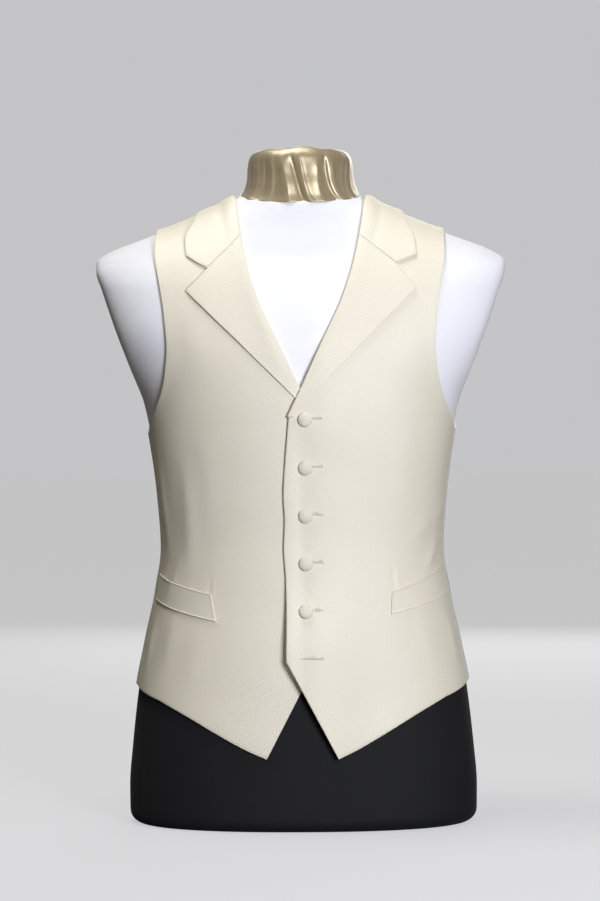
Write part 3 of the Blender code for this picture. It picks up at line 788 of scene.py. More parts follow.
def seam_groove(angle, height):
    """How far the cloth is drawn in at the side seams and the back's middle seam, in mm."""
    around = np.abs(GRAIN.around(angle, height))
    side = GRAIN.around(SIDE_SEAM_ANGLE + 0 * angle, height)
    middle = GRAIN.around(math.pi - 0.001 + 0 * angle, height)
    depth = bell(around - side, SEAM_GROOVE_WIDTH) + bell(around - middle, SEAM_GROOVE_WIDTH)
    return SEAM_GROOVE * depth


def under_lift(angle, height):
    """How far the right front lies off the form, in mm."""
    relief = crease_relief(angle, height) - seam_groove(angle, height)
    relief = np.logaddexp(TROUGH_SHARPNESS * relief, -TROUGH_SHARPNESS * DEEPEST_TROUGH) / TROUGH_SHARPNESS
    return FORM_GAP + SHOULDER_EASE * ramp(height, *SHOULDER_EASE_RISE) + relief


def over_lift(angle, height):
    """How far the left front lies off the form, in mm, with what it covers under it."""
    x = ring(angle, height)[..., 0]
    near_edge = fade(x, *OVERLAP_FADE)
    covered = near_edge * fade(height, *OVERLAP_TOP)
    crossing = near_edge * ramp(height, *CROSSING_FOOT) * fade(height, *CROSSING_TOP)
    flare = FLARE * fade(x, *FLARE_FADE) * fade(height, *FLARE_TOP)
    flare += EDGE_STANDOFF * fade(x, *EDGE_STANDOFF_FADE) * fade(height, *EDGE_STANDOFF_TOP)
    return (
        under_lift(angle, height)
        + covered * (FRONT_CLOTH + LAYER_GAP)
        + crossing * (LAPEL_CLOTH + LAYER_GAP)
        + flare
    )


LIFTS = {"left": over_lift, "right": under_lift}


def on_top(lift):
    """The lift of what lies on a front that has this lift."""
    return lambda angle, height: lift(angle, height) + FRONT_CLOTH + LAYER_GAP


def faces_of(grid, lift, cloth):
    """The inner and outer face of a cloth wall over the grid, in mm."""
    angles, heights = grid[..., 0], grid[..., 1]
    return on_body(angles, heights, lift), on_body(angles, heights, lift + cloth)


BORDERS = {
    "bottom": (np.s_[0, :], np.s_[1, :]),
    "top": (np.s_[-1, :], np.s_[-2, :]),
    "left": (np.s_[:, 0], np.s_[:, 1]),
    "right": (np.s_[:, -1], np.s_[:, -2]),
}


def edge_inwards(middle, most, sewn):
    """For each border point of a grid of points, how far and which way its rounding draws it in."""
    inwards = np.zeros_like(middle)
    for side, (border, within) in BORDERS.items():
        way = middle[within] - middle[border]
        length = np.linalg.norm(way, axis=-1, keepdims=True)
        radius = most * (SEWN_ROUNDING if side in sewn else 1)
        inwards[border] += way / np.maximum(length, 1e-6) * np.minimum(radius, 0.45 * length)
    return inwards


def lay_out(bm, points, grain):
    """Move each vertex to its point in mm, and give the faces their grain."""
    uv = bm.loops.layers.uv.new("Grain")
    points, grain = (points * MM).tolist(), grain.tolist()
    for vert in bm.verts:
        vert.co = points[vert.index]
    for face in bm.faces:
        for loop in face.loops:
            loop[uv].uv = grain[loop.vert.index]


def grid_places(bm, rows, columns):
    """The row, the column and the layer of each vertex of a grid that is one unit wide."""
    bm.verts.index_update()
    flat = np.array([vert.co for vert in bm.verts])
    row = np.rint((flat[:, 1] + 0.5) * rows).astype(int)
    return row, np.rint((flat[:, 0] + 0.5) * columns).astype(int), flat[:, 2:]


def face_outwards(bm):
    bmesh.ops.recalc_face_normals(bm, faces=bm.faces)
    if bm.calc_volume(signed=True) < 0:
        bmesh.ops.reverse_faces(bm, faces=bm.faces)


def add_wall(name, faces, grain, material, sewn=()):
    """A cloth wall with rounded edges, between grids of inner and outer points in mm.

    The borders named in sewn are seams, and are rounded less.
    """
    inner, outer = faces
    rows, columns = inner.shape[0] - 1, inner.shape[1] - 1
    middle, half = (inner + outer) / 2, (outer - inner) / 2
    inwards = edge_inwards(middle, np.median(np.linalg.norm(half, axis=-1)), sewn)
    bm = bmesh.new()
    bmesh.ops.create_grid(bm, x_segments=columns, y_segments=rows, size=0.5)
    raised = bmesh.ops.extrude_face_region(bm, geom=bm.faces[:])["geom"]
    bmesh.ops.translate(bm, vec=(0, 0, 1), verts=[e for e in raised if isinstance(e, bmesh.types.BMVert)])
    upright = [e for e in bm.edges if abs(e.verts[0].co.z - e.verts[1].co.z) > 0.5]
    bmesh.ops.subdivide_edges(bm, edges=upright, cuts=RIM_STEPS - 1)
    row, column, layer = grid_places(bm, rows, columns)
    turn = math.pi * layer
    across = inwards[row, column] * (1 - np.sin(turn))
    lay_out(bm, middle[row, column] - half[row, column] * np.cos(turn) + across, grain[row, column])
    face_outwards(bm)
    return add_piece(name, bm, material)


def add_object(name, bm):
    """A new object in the scene from the bmesh, which it frees."""
    mesh = bpy.data.meshes.new(name)
    bm.to_mesh(mesh)
    bm.free()
    made = bpy.data.objects.new(name, mesh)
    bpy.context.scene.collection.objects.link(made)
    return made


def add_piece(name, bm, material):
    """A new smooth piece from the bmesh, riding on the body."""
    piece = add_object(name, bm)
    piece.data.shade_smooth()
    piece.data.materials.append(material)
    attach(piece, "root")
    return piece


def stands_for(piece, node):
    """The piece takes the place of a node of the frame, which is hidden. The piece itself is not used."""
    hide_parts(node)


def roll_radius(cloth):
    """The radius of the roll round the neck edge, at the middle of a turned-back cloth, in mm."""
    return (LAYER_GAP + FRONT_CLOTH / 2 + cloth / 2) / 2


def rolled(grid, lift, cloth, extra):
    """Faces and grain of a turned-back piece, whose first column rolls round the neck edge.

    The grid starts on the neck edge, and extra lifts each of its points.
    """
    radius = roll_radius(cloth)
    body = surface(grid)
    along = lengths(body[:, 0])
    step = np.linalg.norm(body[:, 1] - body[:, 0], axis=-1, keepdims=True)
    away = (body[:, 1] - body[:, 0]) / step
    out = normal_at(grid[:, 0, 0], grid[:, 0, 1])
    inset = np.minimum(radius + cloth / 2, 0.6 * step)
    flat = grid.copy()
    flat[:, 0] += (grid[:, 1] - grid[:, 0]) * inset / step
    base = lift(flat[..., 0], flat[..., 1]) + extra
    faces = faces_of(flat, base, cloth)
    centre = body[:, 0] + away * inset + out * (base[:, :1] + cloth / 2 - radius)
    turns = np.linspace(0, math.pi, ROLL_STEPS + 1)[:-1]
    round_faces = []
    for face, size in zip(faces, (radius - cloth / 2, radius + cloth / 2)):
        roll = [centre - size * (away * math.sin(turn) + out * math.cos(turn)) for turn in turns]
        round_faces.append(np.concatenate([np.stack(roll, axis=1), face], axis=1))
    distances = np.linalg.norm(np.diff(faces[1], axis=1), axis=-1)
    across = np.pad(np.cumsum(distances, axis=1), ((0, 0), (1, 0)))
    under = np.tile((turns - math.pi) * radius, (len(grid), 1))
    u = np.concatenate([under, across], axis=1)
    return round_faces, np.stack([u, along[:, None] + 0 * u], axis=-1) * MM


def add_group(name, inputs, outputs):
    """A new node group, what it is given and what it makes. Both map a socket's name to its kind."""
    group = bpy.data.node_groups.new(name, "ShaderNodeTree")
    for way, sockets in (("INPUT", inputs), ("OUTPUT", outputs)):
        for label, kind in sockets.items():
            group.interface.new_socket(label, in_out=way, socket_type=f"NodeSocket{kind}")
    return group, group.nodes.new("NodeGroupInput").outputs, group.nodes.new("NodeGroupOutput").inputs


def add_math(tree, operation, *values):
    """A Math node's result. Each value is a number or another node's output."""
    node = tree.nodes.new("ShaderNodeMath")
    node.operation = operation
    plug(tree, node.inputs, values)
    return node.outputs[0]


def plug(tree, sockets, values):
    for socket, value in zip(sockets, values):
        if isinstance(value, bpy.types.NodeSocket):
            tree.links.new(value, socket)
        else:
            socket.default_value = value


def add_mix(tree, share, first, second):
    """A colour between two others."""
    node = tree.nodes.new("ShaderNodeMix")
    node.data_type = "RGBA"
    plug(tree, (node.inputs["Factor"], node.inputs[6], node.inputs[7]), (share, first, second))
    return node.outputs[2]


def add_noise(tree, vector, scale, stretch=(1, 1, 1), detail=2.0):
    """Soft noise from 0 to 1. Scale is in cells a metre."""
    mapping = tree.nodes.new("ShaderNodeMapping")
    mapping.inputs["Scale"].default_value = stretch
    tree.links.new(vector, mapping.inputs["Vector"])
    noise = tree.nodes.new("ShaderNodeTexNoise")
    noise.inputs["Scale"].default_value = scale
    noise.inputs["Detail"].default_value = detail
    tree.links.new(mapping.outputs["Vector"], noise.inputs["Vector"])
    return noise.outputs["Fac"]


def add_waves(group, given, count=1):
    """Cosine waves along both ways of the grain, with that many waves to a period."""
    split = group.nodes.new("ShaderNodeSeparateXYZ")
    group.links.new(given["Vector"], split.inputs[0])
    turns = [add_math(group, "DIVIDE", split.outputs[k], given["Period"]) for k in (0, 1)]
    spread = [add_math(group, "MULTIPLY", turn, 2 * math.pi * count) for turn in turns]
    return [add_math(group, "COSINE", turn) for turn in spread]


def diamond_weave():
    """The diamond weave: its colour, which is darker in the weave's hollows partly as painted shade, its
    height and its roughness.
    """
    name = "Diamond weave"
    if name in bpy.data.node_groups:
        return bpy.data.node_groups[name]
    group, given, made = add_group(
        name,
        {"Vector": "Vector", "Period": "Float", "Light": "Color", "Shade": "Color", "Roughness": "Float"},
        {"Color": "Color", "Height": "Float", "Roughness": "Float"},
    )
    crossed = add_math(group, "MULTIPLY", *add_waves(group, given))
    diamonds = add_math(group, "MULTIPLY_ADD", crossed, 0.5, 0.5)
    threads = add_math(group, "ADD", *add_waves(group, given, THREADS_IN_A_DIAMOND))
    fine = add_math(group, "MULTIPLY_ADD", threads, 0.25, 0.5)
    slub = add_noise(group, given["Vector"], 30, (30, 3, 1))
    mottle = add_noise(group, given["Vector"], 14)

    def total(start, shares):
        for part, share in zip((diamonds, fine, slub, mottle), shares):
            if share:
                start = add_math(group, "MULTIPLY_ADD", part, share, start)
        return start

    # Darker where the diamonds sink in: partly the threads' own tone, partly painted shade in the hollows.
    mixed = add_mix(group, total(SHADE_START, SHADE_SHARES), given["Light"], given["Shade"])
    group.links.new(mixed, made["Color"])
    group.links.new(total(diamonds, HEIGHT_SHARES), made["Height"])
    group.links.new(total(given["Roughness"], ROUGHNESS_SHARES), made["Roughness"])
    return group


def fine_threads():
    """Plain fine threads, as in satin, jersey or sewing thread: a shade and a height."""
    name = "Fine threads"
    if name in bpy.data.node_groups:
        return bpy.data.node_groups[name]
    group, given, made = add_group(
        name,
        {"Vector": "Vector", "Period": "Float", "Color": "Color", "Contrast": "Float"},
        {"Color": "Color", "Height": "Float"},
    )
    crossed = add_math(group, "MULTIPLY", *add_waves(group, given))
    threads = add_math(group, "MULTIPLY_ADD", crossed, 0.5, 0.5)
    streaks = add_noise(group, given["Vector"], 20, (24, 1, 1), 3.0)
    mottle = add_noise(group, given["Vector"], 9)
    shade = add_math(group, "ADD", add_math(group, "ADD", streaks, mottle), threads)
    shade = add_math(group, "MULTIPLY", add_math(group, "MULTIPLY", shade, 0.5), given["Contrast"])
    group.links.new(add_mix(group, shade, given["Color"], (0, 0, 0, 1)), made["Color"])
    group.links.new(add_math(group, "ADD", threads, streaks), made["Height"])
    return group


def add_material(name, pattern, relief, sockets, **given):
    """A material of that pattern group, with its relief in metres and its shader's other sockets."""
    material = bpy.data.materials.new(name)
    material.use_nodes = True
    tree = material.node_tree
    shader = tree.nodes["Principled BSDF"]
    for socket, value in {"Sheen Roughness": 0.4, **sockets}.items():
        shader.inputs[socket].default_value = value
    uv = tree.nodes.new("ShaderNodeUVMap")
    uv.uv_map = "Grain"
    group = tree.nodes.new("ShaderNodeGroup")
    group.node_tree = pattern
    for socket, value in given.items():
        group.inputs[socket].default_value = value
    bump = tree.nodes.new("ShaderNodeBump")
    bump.inputs["Distance"].default_value = relief
    tree.links.new(uv.outputs["UV"], group.inputs["Vector"])
    tree.links.new(group.outputs["Color"], shader.inputs["Base Color"])
    if "Roughness" in group.outputs:
        tree.links.new(group.outputs["Roughness"], shader.inputs["Roughness"])
    tree.links.new(group.outputs["Height"], bump.inputs["Height"])
    tree.links.new(bump.outputs["Normal"], shader.inputs["Normal"])
    return material


def cloth_material(name="ivory_diamond_cloth", period_share=1.0):
    """The waistcoat's cloth. The buttons' is the same at its own scale."""
    if name in bpy.data.materials:
        return bpy.data.materials[name]
    cloth = bpy.context.scene.waistcoat.cloth
    return add_material(
        name, diamond_weave(), 0.16 * MM, {"IOR": 1.55, "Specular IOR Level": 1.0, "Sheen Weight": 0.08},
        Period=cloth.period * period_share, Light=(*cloth.colour, 1), Shade=(*cloth.shade, 1),
        Roughness=0.62,
    )


def thread_material(name, colour, period, contrast, relief, roughness, sheen, specular=0.5, metallic=0.0):
    """A cloth or thread of plain fine threads."""
    sockets = {
        "Roughness": roughness, "Sheen Weight": sheen, "Specular IOR Level": specular, "Metallic": metallic,
    }
    return add_material(
        name, fine_threads(), relief, sockets, Period=period, Color=(*colour, 1), Contrast=contrast
    )


def border_distance(grid, side):
    """Millimetres from each point of a grid to one of its borders, along the grid."""
    body = surface(grid)
    axis = 0 if side in ("bottom", "top") else 1
    steps = np.linalg.norm(np.diff(body, axis=axis), axis=-1)
    if side in ("top", "right"):
        steps = np.flip(steps, axis=axis)
    pad = ((1, 0), (0, 0)) if axis == 0 else ((0, 0), (1, 0))
    total = np.pad(np.cumsum(steps, axis=axis), pad)
    return np.flip(total, axis=axis) if side in ("top", "right") else total


def beside_roll(distance):
    """How full the bulge beside a roll is, from 0 to 1, at a distance in mm from the neck edge."""
    near = distance / ROLL_BULGE_REACH
    return near**2 * np.exp(2 * (1 - near))


def panel_ease(grid, outer):
    """How far a front or a back stands off more at its hem and armhole. Outer is its armhole's side."""
    hem = HEM_EASE * bell(border_distance(grid, "bottom"), HEM_EASE_REACH)
    beside = ARMHOLE_LIFT * bell(border_distance(grid, outer), ARMHOLE_REACH)
    return hem + beside * ramp(grid[..., 1], *ARMHOLE_RISE)


def drawn_back(grid, distance):
    """The left front, with its neck edge drawn back to make room for the lapel's roll."""
    body = surface(grid)
    step = np.linalg.norm(body[:, 1] - body[:, 0], axis=-1)
    first = FRONT_ROWS[0] + FRONT_ROWS[1]
    share = ramp(np.arange(len(grid)) - first, 0, DRAWN_ROWS)
    near = np.clip(1 - np.arange(grid.shape[1]) / DRAWN_COLUMNS, 0, 1)[None, :, None]
    shift = (grid[:, 1] - grid[:, 0]) * (share * distance / step)[:, None]
    return grid + shift[:, None, :] * near


def seats(xs, height, lift):
    """Matrices of seats on the cloth: Z stands out of it, and X runs level to the left."""
    heights = np.full(len(xs), float(height))
    angles = angle_at(np.array(xs, float), heights)

    def points(turn, rise):
        at = (angles + turn, heights + rise)
        return [Vector(point) for point in on_body(*at, lift(*at)) * MM]

    made = []
    turn, rise = 0.02, 3
    sides = (points(-turn, 0), points(turn, 0), points(0, -rise), points(0, rise), points(0, 0))
    for right, left, low, high, middle in zip(*sides):
        across = (left - right).normalized()
        out = across.cross(high - low).normalized()
        turned = Matrix((across, out.cross(across), out)).transposed().to_4x4()
        made.append(Matrix.Translation(middle) @ turned)
    return made


def seat(x, height, lift):
    return seats([x], height, lift)[0]


def on_the_overlap(angle, height):
    """The lift of the left front's outer face."""
    return over_lift(angle, height) + FRONT_CLOTH


def button_height(number):
    return TOP_BUTTON_HEIGHT - BUTTON_PITCH * number


def hole_height(number):
    """A buttonhole lies a little above its button's middle, because the button hangs in it."""
    return button_height(number) + HOLE_RAISE


class WAISTCOAT_OT_fronts(Operator):
    """Make the two fronts, with their folds, and cut the buttonholes"""

    bl_idname = "waistcoat.fronts"
    bl_label = "Fronts"

    FLAT = (0.285, 0.640)
    AREA = 0.104

    def execute(self, context):
        roll_room = roll_radius(LAPEL_CLOTH) + LAPEL_CLOTH / 2 + SEAM_GAP
        grid = drawn_back(front_grid(), roll_room)
        for half, panel in two_halves(grid).items():
            ease = panel_ease(panel, "right" if half == "left" else "left")
            lift = LIFTS[half](panel[..., 0], panel[..., 1]) + ease
            faces = faces_of(panel, lift, FRONT_CLOTH)
            sewn = ("top", "right" if half == "left" else "left")
            front = add_wall(f"{half}_front_cloth", faces, GRAIN.place(panel), cloth_material(), sewn)
            if half == "left":
                self.cut_holes(front)
            stands_for(front, f"front_{half}")
        return {"FINISHED"}

    def cut_holes(self, front):
        """Cut the row of level slits through the front."""
        bm = bmesh.new()
        middle = (HOLE_START_X + HOLE_END_X) / 2
        for number in range(BUTTON_COUNT):
            matrix = seat(middle, hole_height(number), over_lift)
            size = Matrix.Diagonal(((HOLE_END_X - HOLE_START_X) * MM, HOLE_WIDTH * MM, HOLE_CUT * MM, 1))
            bmesh.ops.create_cube(bm, size=1, matrix=matrix @ size)
        cutter = add_object("hole_cutter", bm)
        cut = front.modifiers.new("Buttonholes", "BOOLEAN")
        cut.operation = "DIFFERENCE"
        cut.object = cutter
        bpy.context.view_layer.update()
        whole = front.evaluated_get(bpy.context.evaluated_depsgraph_get())
        pierced = bpy.data.meshes.new_from_object(whole)
        front.modifiers.clear()
        front.data = pierced
        bpy.data.objects.remove(cutter)


class WAISTCOAT_OT_backs(Operator):
    """Make the two satin halves of the back"""

    bl_idname = "waistcoat.backs"
    bl_label = "Backs"

    FLAT = (0.330, 0.590)
    AREA = 0.116

    def execute(self, context):
        satin = thread_material(
            "ivory_back_satin", context.scene.waistcoat.cloth.satin, period=0.6 * MM, contrast=0.10,
            relief=0.03 * MM, roughness=0.30, sheen=0.2, specular=0.6,
        )
        for half, panel in two_halves(back_grid()[:, ::-1]).items():
            ease = panel_ease(panel, "left" if half == "left" else "right")
            lift = under_lift(panel[..., 0], panel[..., 1]) + ease + FRONT_CLOTH - BACK_CLOTH
            faces = faces_of(panel, lift, BACK_CLOTH)
            back = add_wall(f"{half}_back_satin", faces, GRAIN.place(panel), satin, ("top", "left", "right"))
            stands_for(back, f"back_{half}")
        return {"FINISHED"}


class WAISTCOAT_OT_lapels(Operator):
    """Make the two lapels, each rolled softly round the neck edge"""

    bl_idname = "waistcoat.lapels"
    bl_label = "Lapels"

    FLAT = (0.085, 0.220)
    AREA = 0.009
    BULGE_WIDTHS = (6, 45)
    EDGE_WIDTHS = (4, 12)
    LEAST_EDGE = 0.25

    def execute(self, context):
        for half in ("left", "right"):
            shape = placed(lapel_grid(half), half)
            lapel = add_wall(
                f"{half}_lapel_cloth", *rolled(shape, on_top(LIFTS[half]), LAPEL_CLOTH, self.extra(shape)),
                cloth_material(), ("top",),
            )
            stands_for(lapel, f"lapel_{half}")
        return {"FINISHED"}

    def extra(self, shape):
        """The bulge beside the roll, and the free edge that stands off."""
        distance = border_distance(shape, "left")
        width = distance[:, -1:]
        share = distance / width
        rise = ramp(shape[:, :1, 1], BREAK_POINT[1], GORGE_TOP[1])
        bulge = (ROLL_BULGE[0] + (ROLL_BULGE[1] - ROLL_BULGE[0]) * rise) * ramp(width, *self.BULGE_WIDTHS)
        upper = self.LEAST_EDGE + (1 - self.LEAST_EDGE) * ramp(shape[..., 1], *LAPEL_LIFT_RISE)
        edge = LAPEL_EDGE_LIFT * share**3 * upper
        return bulge * beside_roll(distance) + edge * ramp(width, *self.EDGE_WIDTHS)


class WAISTCOAT_OT_collars(Operator):
    """Make the two halves of the collar, from the gorge seam to the shoulder seam"""

    bl_idname = "waistcoat.collars"
    bl_label = "Collars"

    FLAT = (0.066, 0.112)
    AREA = 0.0065
    EASE_REACH = 9.0
    DENT_AT, DENT_WIDTH, DENT_DEPTH = 20.0, 5.0, 0.7
    DENT_START = (0.1, 0.3)

    def execute(self, context):
        for half in ("left", "right"):
            shape = placed(collar_grid(half), half)
            distance = border_distance(shape, "left")
            share = distance / distance[:, -1:]
            full = ramp(border_distance(shape, "bottom"), 0, self.EASE_REACH)
            dent = self.DENT_DEPTH * bell(distance - self.DENT_AT, self.DENT_WIDTH)
            ease = (COLLAR_EASE - dent * ramp(share, *self.DENT_START)) * full
            extra = ease + COLLAR_EDGE_LIFT * share**3 + ROLL_BULGE[1] * beside_roll(distance)
            collar = add_wall(
                f"{half}_collar_cloth", *rolled(shape, on_top(LIFTS[half]), LAPEL_CLOTH, extra),
                cloth_material(), ("bottom", "top"),
            )
            stands_for(collar, f"collar_{half}")
        return {"FINISHED"}


class WAISTCOAT_OT_welts(Operator):
    """Make the two pocket welts, with raised edges and an open upper edge"""

    bl_idname = "waistcoat.welts"
    bl_label = "Pocket welts"

    FLAT = (0.094, 0.029)
    MOUTH_SKEW = 1.6

    def execute(self, context):
        across = np.linspace(0, 1, WELT_COLUMNS + 1)[None, :]
        upward = np.linspace(0, 1, WELT_ROWS + 1)[:, None]
        for half, kind in WELTS.items():
            shape = placed(welt_grid(kind), half)
            nearest = np.minimum(border_distance(shape, "bottom"), border_distance(shape, "top"))
            nearest = np.minimum(nearest, border_distance(shape, "left"))
            ridge = WELT_RIDGE * bell(nearest - WELT_RIDGE_WIDTH, WELT_RIDGE_WIDTH)
            gape = kind.gape * upward**2 * np.sin(math.pi * across**self.MOUTH_SKEW) ** 2 * across
            lift = LIFTS[half](shape[..., 0], shape[..., 1]) + FRONT_CLOTH + WELT_GAP + ridge + gape
            welt = add_wall(
                f"{half}_welt_cloth", faces_of(shape, lift, WELT_WALL), GRAIN.place(shape), cloth_material()
            )
            stands_for(welt, f"welt_{half}")
        return {"FINISHED"}


class WAISTCOAT_OT_buttons(Operator):
    """Make six domed buttons covered in the cloth. The last is undone, under the overlap"""

    bl_idname = "waistcoat.buttons"
    bl_label = "Covered buttons"

    SIDES = 48
    DOME_STEPS = 14
    POWER = 2.4
    RIM_HEIGHT = 1.1
    WEAVE_SHARE = 0.55
    WEAVE_SPREAD = 0.2
    SHANK_STRETCH = (1.6, 0.5, 1, 1)
    SHANK_ABOVE = 0.8
    SHANK_BELOW = 0.4

    def execute(self, context):
        for number in range(BUTTON_COUNT):
            undone = number == BUTTON_COUNT - 1
            lift = on_top(under_lift) if undone else on_top(over_lift)
            matrix = seat(BUTTON_X, button_height(number), lift)
            under = seat(BUTTON_X, button_height(number), on_top(under_lift))
            bm = self.dome(context.scene.waistcoat.buttons)
            if not undone:
                self.add_shank(bm, (matrix.translation - under.translation).length)
            bm.transform(matrix)
            cloth = cloth_material("button_cloth", self.WEAVE_SHARE)
            button = add_piece(f"covered_button_{number + 1}", bm, cloth)
            stands_for(button, f"button_{number + 1}")
        return {"FINISHED"}

    def dome(self, sizes):
        """A turned button, with its grain laid flat over it."""
        radius, top, rim = sizes.radius, sizes.dome, self.RIM_HEIGHT * MM
        turns = np.linspace(math.pi / 2, 0, self.DOME_STEPS + 1)
        profile = []
        for turn in turns:
            across, up = math.cos(turn) ** (2 / self.POWER), math.sin(turn) ** (2 / self.POWER)
            profile.append((radius * across, 0, rim + (top - rim) * up))
        for turn in np.linspace(0, math.pi / 2, 5)[1:]:
            profile.append((radius - rim * (1 - math.cos(turn)), 0, rim * (1 - math.sin(turn))))
        profile.append((0, 0, 0.2 * MM))
        bm = bmesh.new()
        ends = [bm.verts.new(point) for point in profile]
        edges = [bm.edges.new(pair) for pair in zip(ends, ends[1:])]
        bmesh.ops.spin(
            bm, geom=ends + edges, axis=(0, 0, 1), cent=(0, 0, 0), angle=2 * math.pi, steps=self.SIDES,
            use_merge=True,
        )
        bmesh.ops.remove_doubles(bm, verts=bm.verts, dist=0.00001)
        bmesh.ops.recalc_face_normals(bm, faces=bm.faces)
        uv = bm.loops.layers.uv.new("Grain")
        for face in bm.faces:
            for loop in face.loops:
                loop[uv].uv = loop.vert.co.xy * (1 + loop.vert.co.xy.length / radius * self.WEAVE_SPREAD)
        return bm

    def add_shank(self, bm, drop):
        """A thread shank down through the buttonhole to the front below."""
        depth = drop + (self.SHANK_ABOVE + self.SHANK_BELOW) * MM
        middle = Matrix.Translation((0, 0, self.SHANK_ABOVE * MM - depth / 2))
        place = middle @ Matrix.Diagonal(self.SHANK_STRETCH)
        bmesh.ops.create_cone(
            bm, cap_ends=True, segments=16, radius1=MM, radius2=MM, depth=depth, matrix=place
        )


class WAISTCOAT_OT_buttonholes(Operator):
    """Sew the buttonholes with close stitches over both edges of each slit"""

    bl_idname = "waistcoat.buttonholes"
    bl_label = "Buttonhole stitches"

    THICKNESS = 0.23
    LENGTH = 1.5
    OVERHANG = 0.62
    END_FAN = 5
    SWAY, SWAY_STEP = 0.12, 2.3

    def execute(self, context):
        buttons = context.scene.waistcoat.buttons
        bm = bmesh.new()
        pitch = buttons.stitch_pitch / MM
        xs = np.append(np.arange(HOLE_START_X, HOLE_END_X, pitch), HOLE_END_X)
        for number in range(BUTTON_COUNT):
            matrices = seats(xs, hole_height(number), on_the_overlap)
            for k, matrix in enumerate(matrices):
                sway = self.SWAY * math.sin(self.SWAY_STEP * k)
                for side in (-1, 1):
                    off = side * (HOLE_WIDTH / 2 - self.OVERHANG + self.LENGTH / 2)
                    self.add_stitch(bm, matrix, Matrix.Translation((0, off * MM, 0)), sway)
            for way, matrix in ((-1, matrices[0]), (1, matrices[-1])):
                for turn in np.linspace(-math.pi / 2, math.pi / 2, self.END_FAN + 2)[1:-1]:
                    lean = Matrix.Rotation(-way * (math.pi / 2 + turn) + (math.pi if way < 0 else 0), 4, "Z")
                    out = Matrix.Translation((0, self.LENGTH / 2 * MM, 0))
                    self.add_stitch(bm, matrix, lean @ out, 0)
        uv = bm.loops.layers.uv.new("Grain")
        for side in bm.faces:
            for loop in side.loops:
                loop[uv].uv = (loop.vert.co.x, loop.vert.co.z)
        thread = thread_material(
            "buttonhole_thread", buttons.thread, period=0.3 * MM, contrast=0.12, relief=0.05 * MM,
            roughness=0.55, sheen=0.2,
        )
        stitches = add_piece("buttonhole_stitches", bm, thread)
        return {"FINISHED"}

    def add_stitch(self, bm, matrix, place, lean):
        """One stitch, lying along the seat's Y."""
        long = Matrix.Diagonal((self.THICKNESS * MM, self.LENGTH / 2 * MM, self.THICKNESS * MM, 1))
        turned = Matrix.Rotation(lean, 4, "Z") @ long @ Matrix.Rotation(math.pi / 2, 4, "X")
        bmesh.ops.create_uvsphere(bm, u_segments=6, v_segments=5, radius=1, matrix=matrix @ place @ turned)


def add_cover(name, rows, material):
    """A closed, smooth cover lofted through rings of points in mm, shut at both ends."""
    rows = np.array(rows)
    low, high = rows[0].mean(axis=0), rows[-1].mean(axis=0)
    shares = np.linspace(0, 1, CAP_RINGS + 1)[:-1, None, None]
    shares = np.concatenate([shares, shares, shares**3], axis=-1)
    rows = np.concatenate([low + (rows[0] - low) * shares, rows, high + (rows[-1] - high) * shares[::-1]])
    around = np.concatenate([rows, rows[:, :1]], axis=1)
    sides = rows.shape[1]
    steps = np.linalg.norm(np.diff(around, axis=1), axis=-1)
    u = np.pad(np.cumsum(steps, axis=1), ((0, 0), (1, 0))) * MM
    v = np.tile(lengths(around[:, 0])[:, None], (1, around.shape[1])) * MM
    bm = bmesh.new()
    bmesh.ops.create_grid(bm, x_segments=sides, y_segments=len(rows) - 1, size=0.5)
    row, column, _ = grid_places(bm, len(rows) - 1, sides)
    lay_out(bm, around[row, column], np.stack([u, v], axis=-1)[row, column])
    bmesh.ops.remove_doubles(bm, verts=bm.verts, dist=0.00001)
    face_outwards(bm)
    return add_piece(name, bm, material)


def form_angles(sides=FORM_SIDES):
    """Angles all round the form, from its back, where its covers are closed."""
    return np.arange(sides) * 2 * math.pi / sides - math.pi


def degrees_from(angles, middle):
    """How many degrees the angles are past the middle, which is in degrees, the short way round."""
    return (np.degrees(angles) - middle + 180) % 360 - 180


def neck_seam(angles):
    """The heights at which the neck's slanted seam plane meets the form's surface."""
    heights = NECK_SEAM_HEIGHT + 0 * angles
    for _ in range(8):
        heights = NECK_SEAM_HEIGHT + NECK_SEAM_SLOPE * ring(angles, heights)[:, 1]
    return heights


class WAISTCOAT_OT_form_base(Operator):
    """Make the form's black base, rounded at its foot"""

    bl_idname = "waistcoat.form_base"
    bl_label = "Form base"

    ROWS = 44
    EDGE_STEPS = 10

    def execute(self, context):
        angles = form_angles()
        turns = np.linspace(0, math.pi / 2, self.EDGE_STEPS + 1)
        rows = []
        for turn in turns:
            height = BASE_EDGE_RADIUS * (1 - math.cos(turn))
            inset = BASE_EDGE_RADIUS * (1 - math.sin(turn))
            rows.append(ring(angles, height, inset))
        top = WAIST_SEAM_HEIGHT - SEAM_GAP / 2
        for height in np.linspace(BASE_EDGE_RADIUS, top, self.ROWS)[1:]:
            rows.append(ring(angles, height, COVER_TUCK * ramp(height, top - COVER_TUCK_REACH, top)))
        black = thread_material(
            "black_base_cloth", context.scene.waistcoat.form.black, period=1.2 * MM, contrast=0.4,
            relief=0.08 * MM, roughness=0.75, sheen=0.03, specular=0.25,
        )
        stands_for(add_cover("base_cover", rows, black), "form_base")
        return {"FINISHED"}


